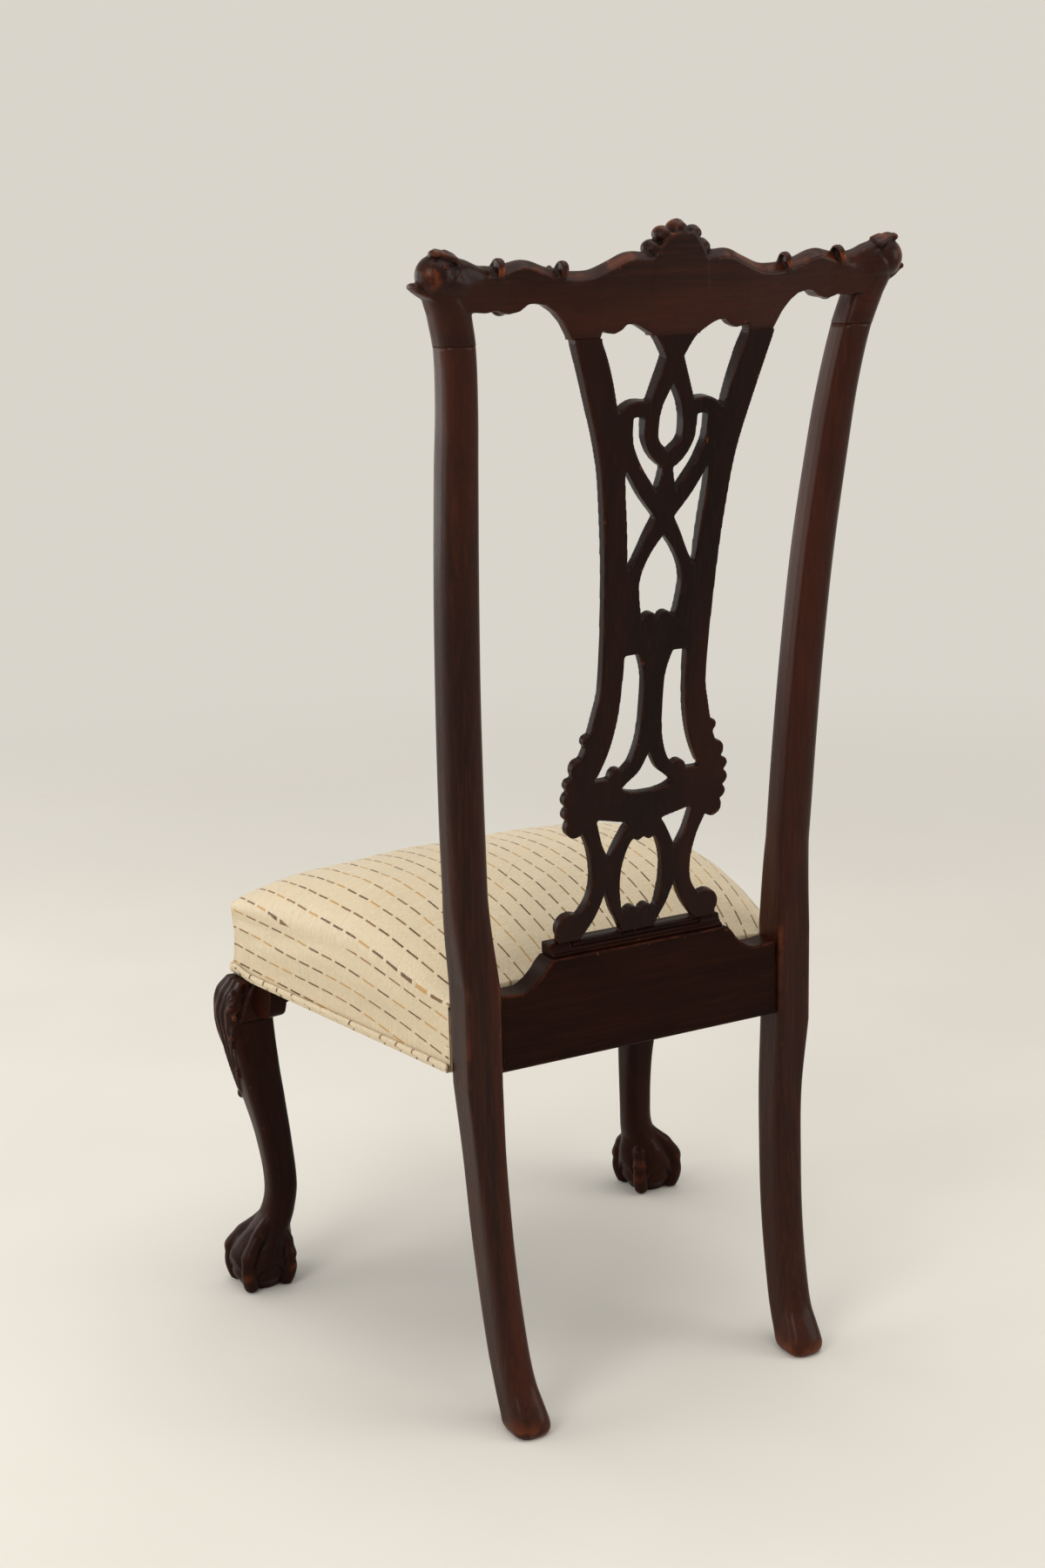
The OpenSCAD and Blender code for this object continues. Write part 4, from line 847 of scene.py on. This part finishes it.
TOE = ((84, 15, 6.4), (75, 18.6, 7.0), (67, 22.6, 7.4), (60, 28.0, 7.8), (54, 33.6, 8.2), (48, 36.6, 7.4),
       (42, 39.8, 8.2), (37, 41.4, 8.6), (31, 40.2, 7.2), (24, 41.0, 7.8), (18, 40.6, 8.2),
       (11, 38.4, 8.0), (6, 36.0, 7.8), (2.6, 33.6, 6.8), (.8, 31, 4.5))
TOE_LIFTS = (3.0, -5.0, -3.0, 0)
KNEE_BEADS = ((0, 211), (84, 330), (96, 304), (84, 281), (79, 273), (66, 245), (60, 238))
CARVED_LOW, MOST_SQUARE, ANKLE_LOW, WEB_TOP = 206, 7.5, 34, 68


def leg_row(z, k):
    return float(smooth_at(LEG, z / RAIL_BOTTOM, k))


def leg_centre(z):
    return np.array([SEAT_FRONT_WIDTH / 2 - KNEE * leg_row(z, 1), SEAT_FRONT + KNEE * leg_row(z, 2), z])


def leg_reach(z, a):
    return KNEE * leg_row(z, 3) * square_reach(a, min(leg_row(z, 4), MOST_SQUARE))


def acanthus(a, z):
    """How far the knee stands out at an angle and a height: flutes and volutes in front, flat beside them."""
    d = np.abs(np.degrees((a + pi / 4 + pi) % (2 * pi) - pi))
    edge = table(CARVED, z)
    wide = edge * (1 + .03 * sin(z / 2.6))
    inside = ramp(d, wide, -7)
    inside = inside * inside * (3 - 2 * inside)
    ridge = .5 + .5 * np.cos(2 * pi * (d / wide * 4 + .13 * sin(z * .13)))
    far = np.hypot((d - 84) * .45, z - 323)
    whorl = np.exp(-(far / 9) ** 4)
    ridge = ridge * (1 - whorl) + whorl * (.5 + .5 * np.cos(2 * pi * (far / 5.2)))
    carved = inside * (.8 + 2.2 * ridge ** 1.2) * min(1, (z - CARVED_LOW) / 12)
    facet = ramp(d, edge + 2, 3) * ramp(d, 177, -5)
    return carved + 3.6 * facet * ramp(z, 297, 1.2) * ramp(z, 341, -5)


def front_leg():
    """Shank and knee, the block inside the rails, ball, web, four toes and the beads of the carving."""
    a = circle_angles(128)
    rings = []
    for z in np.concatenate([np.linspace(60, 200, 50), np.linspace(201, 339.7, 130)]):
        r = leg_reach(z, a) + (acanthus(a, z) - 1.6 * ramp(z, 215, 60) if z > CARVED_LOW else 0)
        rings.append(level_ring(*leg_centre(z)[:2], z, r, a))
    foot = leg_centre(20)
    parts = [loft(rings), block((202.5, -242, 330), (239.2, -206, 399.5)),
             ball(foot + [0, 0, 11.0], (31, 31, 30.5), rows=24, sides=36),
             ball(foot + [0, 0, -3.5], (30, 30, 16.4), rows=20, sides=36),
             tube([foot + [0, 0, -19.2], foot + [0, 0, -13]], [21, 25], sides=32)]
    under = 6 + 26 * (1 - np.abs(np.cos(2 * (a - pi / 4))) ** 2.2) ** .6
    web = []
    for share, r in WEB:
        z = under + (WEB_TOP - under) * share
        c = np.array([leg_centre(max(q, ANKLE_LOW)) for q in z])
        web.append(level_ring(c[:, 0], c[:, 1], z, r, a))
    parts.append(loft(web))
    for k, lift in enumerate(TOE_LIFTS):
        phi = pi / 4 + k * pi / 2
        path = []
        for z, r, w in TOE:
            z += lift * ramp(z, 20, 25)
            x, y = leg_centre(max(z, ANKLE_LOW))[:2] + np.array([cos(phi), sin(phi)]) * (r - w)
            path.append((x, y, z))
        parts.append(tube(path, [w for _, _, w in TOE], sides=20))
    for d, z in KNEE_BEADS:
        for sign in ((1, -1) if d else (1,)):
            angle = np.array([-pi / 4 + sign * radians(d)])
            spot = level_ring(*leg_centre(z)[:2], z, leg_reach(z, angle) + .6, angle)[0]
            parts.append(ball(spot, (3.0, 3.0, 3.4) if d else (4.4, 4.4, 6.0)))
    return parts


def leg_worn(p):
    z = p[:, 2]
    r = np.hypot(np.abs(p[:, 0]) - 242.8, p[:, 1] + 218.4)
    return np.maximum(ramp(r, 34, 7) * (bell(z, 40, 7) + bell(z, 19, 7)) * .4, bell(z, 300, 34) * .22)


left_leg = fuse("leg_left", front_leg(), 1.1, 2, low=0)
shaded(left_leg, leg_worn, .55, 12)
right_leg = mirrored(left_leg, "leg_right")
finish_piece(left_leg, WOOD_LEG, "mahogany", "front_leg_left")
finish_piece(right_leg, WOOD_LEG, "mahogany", "front_leg_right")

# ---- upholstered seat
EDGE = [[0, .91], [.3, .97], [.6, 1], [1, .8]]
WALL = [[0, 0], [.12, .55], [.3, 1], [.62, 1], [.86, .4], [1, 0]]
PAD_LOW = RAIL_TOP + .2 + 2.6 + .8 + .3
CROWN, EDGE_HEIGHT, CORNER, SKIRT = 56.0, 79.0, 10.0, 2.7
REAR, SIDE, TURNED, FRONT = range(4)
TOP_STEPS = (0, .004, .009, .015, .022, .03, .04, .052, .066, .082, .1, .12, .142, .168, .198, .232, .27,
             .312, .358, .41, .466, .528, .594, .665, .74, .82, .9, .965)
SIM_STEPS = (.01, .025, .045, .07, .1, .14, .19, .25, .33, .43, .55, .7, .86)


def rise(u, power, root):
    return np.maximum(0, 1 - np.clip(u, 0, 1) ** power) ** root


def edge_level(y):
    """The height of the edge where the cover turns over, which rises towards the middle of the side."""
    return RAIL_BOTTOM + EDGE_HEIGHT * smooth_at(EDGE, ramp(y, SEAT_FRONT, SEAT_RUN), 1)


def seat_top(x, y):
    v = ramp(y, SEAT_FRONT, SEAT_RUN)
    side = rise(np.abs(x) / side_x(y), 5, .55)
    front = .3 + .7 * rise(1 - v / .55, 2.6, .62)
    rear = .25 + .75 * rise(1 - (1 - v) / .45, 2.2, .8)
    return edge_level(y) + CROWN * side * front * rear


def seat_plan(inset):
    """Points round the seat from the middle of the rear, each with its kind."""
    y0, y1, r = SEAT_FRONT + inset, SEAT_REAR - inset, CORNER
    x1, x0 = side_x(y1) - inset, side_x(y0) - inset
    rows = [(x1 * i / 26, y1, REAR) for i in range(27)] + [(x1 + .02, y1 - .06, SIDE)]
    for i in range(1, 76):
        y = y1 - 1.5 + (y0 + r - y1 + 1.5) * i / 75
        rows.append((side_x(y) - inset, y, SIDE))
    for i in range(1, 9):
        a = -pi / 2 * i / 8
        rows.append((x0 - r + r * cos(a), y0 + r + r * sin(a), TURNED))
    rows += [((x0 - r) * (1 - i / 44), y0, FRONT) for i in range(1, 45)]
    half = np.array(rows)
    return np.concatenate([half, half[-2:0:-1] * [-1, 1, 1]])


def seat_ring(base, s, lower=0):
    """A ring over the top, a share of the way from the edge to the middle."""
    x, y = base[:, 0] * (1 - s), base[:, 1] + (SEAT_MIDDLE - base[:, 1]) * s
    return columns([x, y, seat_top(x, y) - lower])


def cushion_mesh(name):
    """The cushion's rings from the hem inside up the wall and over the top, each with a tag."""
    base, skirt = seat_plan(0), seat_plan(SKIRT)
    rear = base[:, 1] > SEAT_REAR - .1
    low = np.where(base[:, 2] == REAR, PAD_LOW, RAIL_BOTTOM + .2)
    start = PAD_LOW + .2
    rings = [columns([skirt[:, :2], start + (low + .6 - start) * s]) for s in np.linspace(0, 1, 5)]
    rings.append(columns([seat_plan(1.4)[:, :2], low]))
    tags = ["in"] * len(rings)
    for s in np.linspace(0, 1, 22)[:-1]:
        p = seat_plan(1.6 * table(WALL, s))
        p[rear, 1] = base[rear, 1]
        rings.append(columns([p[:, :2], low + (edge_level(p[:, 1]) - low) * s]))
        tags.append("wall")
    rings += [seat_ring(base, s) for s in TOP_STEPS]
    tags += ["top"] * len(TOP_STEPS)
    verts, faces = loft(rings)
    verts[-2] = (0, SEAT_MIDDLE, start)
    verts[-1] = (0, SEAT_MIDDLE, float(seat_top(np.array([0.]), np.array([SEAT_MIDDLE]))[0]))
    return raw_object(name, verts, faces), tags, base[:, 2]


def simulated_surface():
    """The stuffed form as cloth under a little pressure, held along its lower edge."""
    base = seat_plan(3.0)
    low = np.where(base[:, 2] == REAR, PAD_LOW, RAIL_BOTTOM) + 1
    rings = [columns([base[:, :2], low + (edge_level(base[:, 1]) - 2 - low) * s])
             for s in np.linspace(0, 1, 12)]
    rings += [seat_ring(base, s, 4) for s in SIM_STEPS]
    obj = skinned(solid("seat_sim", *loft(rings), False), 5.5)
    start = points_of(obj.data)
    pins = (start[:, 2] < RAIL_BOTTOM + 14) | ((start[:, 1] > SEAT_REAR - 8) & (start[:, 2] < PAD_LOW + 10))
    group = obj.vertex_groups.new(name="pins")
    group.add(np.nonzero(pins)[0].tolist(), 1.0, "REPLACE")
    cloth = obj.modifiers.new("Cloth", "CLOTH")
    s = cloth.settings
    s.quality, s.mass, s.use_pressure, s.uniform_pressure_force = 6, .3, True, 4.0
    s.tension_stiffness = s.compression_stiffness = 40
    s.shear_stiffness, s.bending_stiffness = 20, 2.0
    s.effector_weights.gravity = 0
    s.vertex_group_mass = "pins"
    cloth.collision_settings.use_collision = False
    for f in range(1, 21):
        bpy.context.scene.frame_set(f)
    obj = baked(obj)
    bpy.context.scene.frame_set(1)
    move = points_of(obj.data) - start
    size = norm(move, axis=1)
    v = start + move * np.minimum(1, 9 / np.maximum(size, 1e-6))[:, None]
    set_points(obj.data, relax(v, edges_of(obj.data), 2))
    return obj


def swollen(mesh, v, outer):
    """The cushion's outer points moved to the simulated surface, by a few millimetres at most."""
    sim = simulated_surface()
    bvh = BVHTree.FromObject(sim, bpy.context.evaluated_depsgraph_get())
    normals = normals_of(mesh)
    shift = np.zeros(len(v))
    for i in np.nonzero(outer)[0]:
        hit = bvh.find_nearest(Vector(v[i] * MM))[0]
        if hit is not None:
            shift[i] = (np.array(hit) / MM - v[i]) @ normals[i]
    hold = ramp(v[:, 2], RAIL_BOTTOM + 16, 30) * ramp(v[:, 1], SEAT_REAR + 2, -14)
    shift = np.clip(shift, -3.0, 2.0) * hold * outer
    bpy.data.objects.remove(sim)
    return v + normals * relax(shift, edges_of(mesh), 3)[:, None]


def cloth_run(v, half, wide):
    """How far along the crowned top each point is from the middle, as the cloth was woven straight."""
    share = np.linspace(0, 1, 161) ** .5
    line = np.clip(v[:, 1], SEAT_FRONT, SEAT_REAR)
    tall = np.stack([seat_top(half * q, line) for q in share], 1)
    run = np.hypot(np.diff(share)[None, :] * half[:, None], np.diff(tall, axis=1))
    run = np.concatenate([np.zeros((len(v), 1)), np.cumsum(run, 1)], 1)
    out = ramp(np.abs(v[:, 0]), 0, half)
    k = np.minimum((out ** 2 * 160).astype(int), 159)
    at = np.arange(len(v))
    part = (out - share[k]) / (share[k + 1] - share[k])
    return np.sign(v[:, 0]) * wide * (run[at, k] + (run[at, k + 1] - run[at, k]) * part) / run[:, -1]


def seat():
    obj, tags, kind = cushion_mesh("seat_cushion")
    mesh, n = obj.data, len(kind)
    v = points_of(mesh)
    outer = np.append(np.repeat([tag != "in" for tag in tags], n), [False, True])
    v = swollen(mesh, v, outer)
    x, y, z = v.T
    lumps = .5 * (.9 * np.sin(x * .031 + 1.3) * np.sin(y * .027 + .4)
                  + .6 * np.sin(x * .067 + y * .05) + .4 * np.sin(y * .11 - x * .04))
    z += lumps * outer * ramp(z, 385, 40) * ramp(y, SEAT_REAR, -30)
    tuck = ramp(y, SEAT_REAR - 8, 8) ** 2 * ramp(z, 440, -20) * outer
    x -= np.sign(x) * tuck * np.clip(np.abs(x) - 188.3, 0, 2)
    knee = bell(y, SEAT_FRONT + 18, 20) * ramp(np.abs(x), 195, 30)
    z += 4.5 * knee * ramp(z, 372, -32) * outer
    set_points(mesh, v)

    wide = SEAT_FRONT_WIDTH / 2 - 31 * ramp(y, SEAT_FRONT, SEAT_RUN)
    below = np.maximum(0, edge_level(y) - z)
    across = cloth_run(v, side_x(y), wide)
    top, front, rear = (columns([across, q]) for q in (y, SEAT_FRONT - below, SEAT_REAR + below))
    side = columns([np.sign(x) * (wide + below), y])
    loops = loops_of(mesh)
    uv = np.zeros((len(loops), 3))
    kinds = np.tile(kind, len(tags))
    for poly in mesh.polygons:
        span = slice(poly.loop_start, poly.loop_start + poly.loop_total)
        plain = [i for i in loops[span] if i < len(kinds)]
        if tags[min(plain) // n] == "top":
            source = top
        elif max(kinds[i] for i in plain) == TURNED:
            c = np.mean(v[plain], 0)
            ahead = SEAT_FRONT + CORNER - c[1] > abs(c[0]) - (side_x(SEAT_FRONT) - CORNER)
            source = front if ahead else side
        else:
            source = (rear, side, side, front)[int(round(np.median([kinds[i] for i in plain])))]
        uv[span, :2] = source[loops[span]]
    put_cloth(mesh, uv)
    outward(obj)
    obj.data.shade_smooth()
    finish_piece(obj, SEAT_CLOTH, "seat_fabric", "seat_cover", "seat_pad")


seat()


def welt():
    """A flat welt along the lower edge, gathered over each knee."""
    plan = seat_plan(0)
    half = [(x, y) for x, y, k in plan[:len(plan) // 2 + 1] if k != REAR]
    line = [np.array(q) for q in half + [(-x, y) for x, y in reversed(half[:-1])]]
    kept = line[:1]
    for q in line[1:]:
        if norm(q - kept[-1]) > 1.2:
            kept.append(q)
    line = np.array(kept)
    run = np.concatenate([[0], np.cumsum(norm(np.diff(line, axis=0), axis=1))])
    fine = np.linspace(0, run[-1], 900)
    p = columns([np.interp(fine, run, line[:, k]) for k in (0, 1)])
    for _ in range(3):
        p[1:-1] = (p[:-2] + 2 * p[1:-1] + p[2:]) / 4
    d = np.gradient(p, axis=0)
    d /= norm(d, axis=1)[:, None]
    out = columns([-d[:, 1], d[:, 0]])
    out *= np.sign((out * p).sum(1).mean())
    knee = bell(p[:, 1], SEAT_FRONT + 16, 17) * ramp(np.abs(p[:, 0]), 200, 25)
    pucker = np.sin(fine * 2 * pi / 7.3) * .35 * (.25 + knee)
    a = circle_angles(20)
    r = square_reach(a, 2.6)
    rings = []
    for q, side, k, fold in zip(p, out, knee, pucker):
        off = 1.5 + (1.9 + fold) * r * np.cos(a)
        high = 344.7 + 4.6 * k + (4.4 + fold * .5) * r * np.sin(a)
        rings.append(columns([q + np.outer(off, side), high]))
    obj = solid("seat_welt", *loft(rings))
    across = np.tile(a, len(p)) * 4.2 + 30
    along = np.repeat(fine, len(a))
    uv = columns([along * .7 + across * .25, across, np.zeros(len(along))])
    put_cloth(obj.data, np.concatenate([uv, uv[:1], uv[-1:]])[loops_of(obj.data)])
    finish_piece(obj, SEAT_CLOTH, "seat_fabric", "welt")


welt()


# ---- under the seat
def cloth_sheet(name, node, slot, mat, outline, z, sag, thick):
    """A thin closed sheet over an outline, sagging a little in the middle."""
    out = np.array(outline, float)
    steps = []
    for a, b in zip(out, np.roll(out, -1, 0)):
        m = max(1, int(norm(b - a) / 12))
        steps += [a + (b - a) * k / m for k in range(m)]
    edge = np.array(steps)
    mid = edge.mean(0)
    rings = []
    for lift, seq in ((0, np.linspace(.06, 1, 14)), (thick, np.linspace(1, .06, 14))):
        for s in seq:
            q = mid + (edge - mid) * s
            ripple = .25 * np.sin(q[:, 0] * .06) * np.sin(q[:, 1] * .05)
            drop = sag * (1 - s ** 2) ** 1.5 + ripple * (1 - s ** 4)
            rings.append(columns([q, z - drop + lift]))
    return finish_piece(solid(name, *loft(rings)), mat, slot, node)


WEB_INSET = RAIL_INSET + COVER
WEB_FRONT, WEB_REAR = SEAT_FRONT + WEB_INSET, REAR_RAIL_BACK - REAR_RAIL_THICK - .4
WEB_WIDTH, WEB_THICK = 50, 1.25
HESSIAN_EDGE = [(s * (side_x(y) - WEB_INSET), y) for s, y in (
    (1, WEB_FRONT), (1, WEB_REAR - WEB_INSET), (-1, WEB_REAR - WEB_INSET), (-1, WEB_FRONT))]
hessian = cloth_sheet("hessian_sheet", "hessian", "hessian", HESSIAN, HESSIAN_EDGE, RAIL_TOP + 2.85, 0, .7)


RAIL_THICK, BLOCK_HEIGHT, BLOCK_LENGTH, BLOCK_THICK, BLOCK_SLACK = 24, 37, 32, 21, 14
DUST_INSET, GAP = 9, 1


def knee_reach(k):
    """How far in or back the knee reaches where the knee blocks meet it."""
    t = 1 - BLOCK_HEIGHT / RAIL_BOTTOM * np.arange(11) / 10
    return KNEE * float(np.max(smooth_at(LEG, t, k) + smooth_at(LEG, t, 3)))


KNEE_X, KNEE_Y = SEAT_FRONT_WIDTH / 2 - knee_reach(1), SEAT_FRONT + knee_reach(2)


def dust_outline():
    """The dust cover's edge on the rails' lower faces, cut back round the legs, knee blocks and posts."""
    bx, by = KNEE_X - BLOCK_LENGTH - GAP, KNEE_Y + BLOCK_LENGTH + GAP
    ix = side_x(by) - RAIL_INSET - BLOCK_THICK - BLOCK_SLACK
    iy = SEAT_FRONT + RAIL_INSET + BLOCK_THICK + GAP
    px, py = POST_AXIS - POST_WIDTH / 2 - GAP, POST_FRONT - GAP
    half = [(bx, SEAT_FRONT + DUST_INSET), (bx, iy), (ix, iy), (ix, by), (side_x(by) - DUST_INSET, by),
            (side_x(py) - DUST_INSET, py), (px, py), (px, REAR_RAIL_BACK - DUST_INSET)]
    return half + [(-x, y) for x, y in reversed(half)]


DUST_EDGE = dust_outline()
dust = cloth_sheet("dust_sheet", "dust_cover", "cambric", CAMBRIC, DUST_EDGE, RAIL_BOTTOM - .7, 2.5, .5)


def strip(x0, x1, y0, y1, z, along):
    """A band of webbing with thinned edges, as points and faces."""
    share = np.arange(9) / 8
    thin = .25 * (abs(share - .5) == .5)
    across = np.append(share, share[::-1])
    high = z + np.append(thin, WEB_THICK - thin)
    rings = []
    for s in np.linspace(0, 1, int(((y1 - y0) if along else (x1 - x0)) / 6) + 1):
        s = np.full(18, s)
        x, y = (across, s) if along else (s, across)
        rings.append(columns([x0 + (x1 - x0) * x, y0 + (y1 - y0) * y, high]))
    return loft(rings)


def webbing_strips():
    """Four strips each way; the cross strips lie over the long ones."""
    half, first, reach = SEAT_REAR_WIDTH / 2 - 36, SEAT_FRONT + 41, WEB_WIDTH / 2
    pitch = (WEB_REAR - first - WEB_WIDTH) / 4
    strips = []
    for i in range(4):
        x = (i - 1.5) / 4 * 2 * half
        strips.append(strip(x - reach, x + reach, WEB_FRONT, WEB_REAR, RAIL_TOP + .12, True))
    for i in range(4):
        y = first + reach + pitch * (i + .5)
        x = side_x(y + reach) - WEB_INSET
        strips.append(strip(-x, x, y - reach, y + reach, RAIL_TOP + 1.43, False))
    finish_piece(solid("webbing_strips", *joined(strips), False), WEBBING, "webbing", "webbing")


webbing_strips()

TACK_LINE, TACK_COUNT = .62, 8
TACK = ((1.2, -1.35), (2.3, -1.2), (3.1, -.9), (3.55, -.45), (3.6, -.15), (3.3, 0), (.9, .05), (.8, 2),
        (.7, 6))


def tacks():
    """Domed tack heads, with their points in the rails."""
    line = RAIL_INSET + RAIL_THICK * TACK_LINE
    clear = BLOCK_LENGTH + 2 * DUST_INSET
    bx, y0, y1 = KNEE_X - clear, KNEE_Y + clear, POST_FRONT - 2 * DUST_INSET
    spots = []
    for t in np.linspace(0, 1, TACK_COUNT):
        y = y0 + (y1 - y0) * t
        spots += [(bx * (2 * t - 1), SEAT_FRONT + line), (side_x(y) - line, y), (line - side_x(y), y)]
    a = circle_angles(20)
    heads = []
    for k, (x, y) in enumerate(spots):
        tilt = .036 * sin(k * 2.4) * np.cos(a + k)
        heads.append(loft([level_ring(x, y, RAIL_BOTTOM - .75 + z + tilt * r, r, a) for r, z in TACK]))
    finish_piece(solid("dust_tacks", *joined(heads)), TACK_STEEL, "tack_steel", "dust_cover_tacks")


tacks()

BLOCKS = ["corner_block_" + place for place in ("front_left", "front_right", "rear_left", "rear_right")]
for node in ["side_rail_left", "side_rail_right", "front_rail"] + BLOCKS:
    dress_node(node, FRAME_WOOD)
dress_node("corner_block_screws", SCREW_STEEL)


# ---- floor, world, lamps and camera
bpy.ops.mesh.primitive_plane_add(size=8, location=(0, 0, -.0005))
floor = bpy.context.object
floor.name = "floor"
ground = Finish("Pale_floor")
far = ground.new("VectorMath", operation="LENGTH")
ground.link(ground.coord(), far.inputs[0])
cloudy = ground.span(ground.noise((1.3, 1.3, 1.3), detail=3), .3, .7)
ground.ends(Base_Color=ground.blend(cloudy, (.68, .65, .59), (.72, .69, .63)), Roughness=.9,
            Alpha=ground.span(far.outputs["Value"], .9, 3.4, 1.0, 0))
floor.data.materials.append(ground.material)

world = bpy.data.worlds.new("Pale_room")
bpy.context.scene.world = world
world.use_nodes = True
sky = Nodes(world.node_tree)
rays = sky.new("LightPath").outputs
seen = sky.math("MAXIMUM", rays["Is Camera Ray"], rays["Is Glossy Ray"])
seen = sky.math("MAXIMUM", seen, rays["Is Transmission Ray"])
strength = sky.span(sky.parts(sky.coord("Generated"))[2], 0, .9, .14, .75)
room = sky.fed(sky.new("Background"), ((0, (1, .98, .95, 1)), (1, strength)))
shown = sky.fed(sky.new("Background"), ((0, (.7, .665, .6, 1)), (1, 1.0)))
sky.fed(sky.new("OutputWorld"), ((0, sky.fed(sky.new("MixShader"), enumerate((seen, room, shown)))),))


def lamp(name, place, aim, width, height, watts, colour):
    light = bpy.data.lights.new(name, "AREA")
    light.shape, light.size, light.size_y = "RECTANGLE", width, height
    light.energy, light.color = watts, colour
    obj = placed(name, light)
    obj.location = place
    obj.rotation_euler = (Vector(aim) - Vector(place)).to_track_quat("-Z", "Y").to_euler()


lamp("Window", (3.0, 1.6, 2.3), (0, 0, .6), 1.6, 2.2, 43, (1, .985, .96))
lamp("Side", (2.7, -1.1, 1.0), (0, 0, .6), 1.6, 1.9, 25, (1, .985, .96))
lamp("Front", (1.5, -2.9, .95), (0, 0, .7), 2.2, 1.6, 24, (1, .985, .96))
lamp("Overhead", (-.3, .4, 3.2), (0, 0, .4), 2.6, 2.6, 38, (1, .99, .97))
lamp("Fill", (-2.4, 2.2, 1.5), (0, 0, .7), 1.6, 1.8, 25, (1, .97, .93))

YAW, PITCH, ROLL = radians(208.654), radians(13.948), radians(-1.421)
CAMERA_PLACE, CAMERA_LENS = (1.1204, 1.9979, 1.1282), 54.997
ahead = Vector((sin(YAW) * cos(PITCH), cos(YAW) * cos(PITCH), -sin(PITCH)))
right = ahead.cross(Vector((0, 0, 1))).normalized()
up = right.cross(ahead)
right, up = cos(ROLL) * right + sin(ROLL) * up, cos(ROLL) * up - sin(ROLL) * right
view = bpy.data.cameras.new("Camera")
view.lens, view.sensor_width, view.sensor_fit = CAMERA_LENS, 36, "AUTO"
camera = placed("Camera", view)
camera.matrix_world = Matrix.Translation(CAMERA_PLACE) @ Matrix((right, up, -ahead)).transposed().to_4x4()
bpy.context.scene.camera = camera
bpy.context.scene.view_settings.view_transform = "Standard"
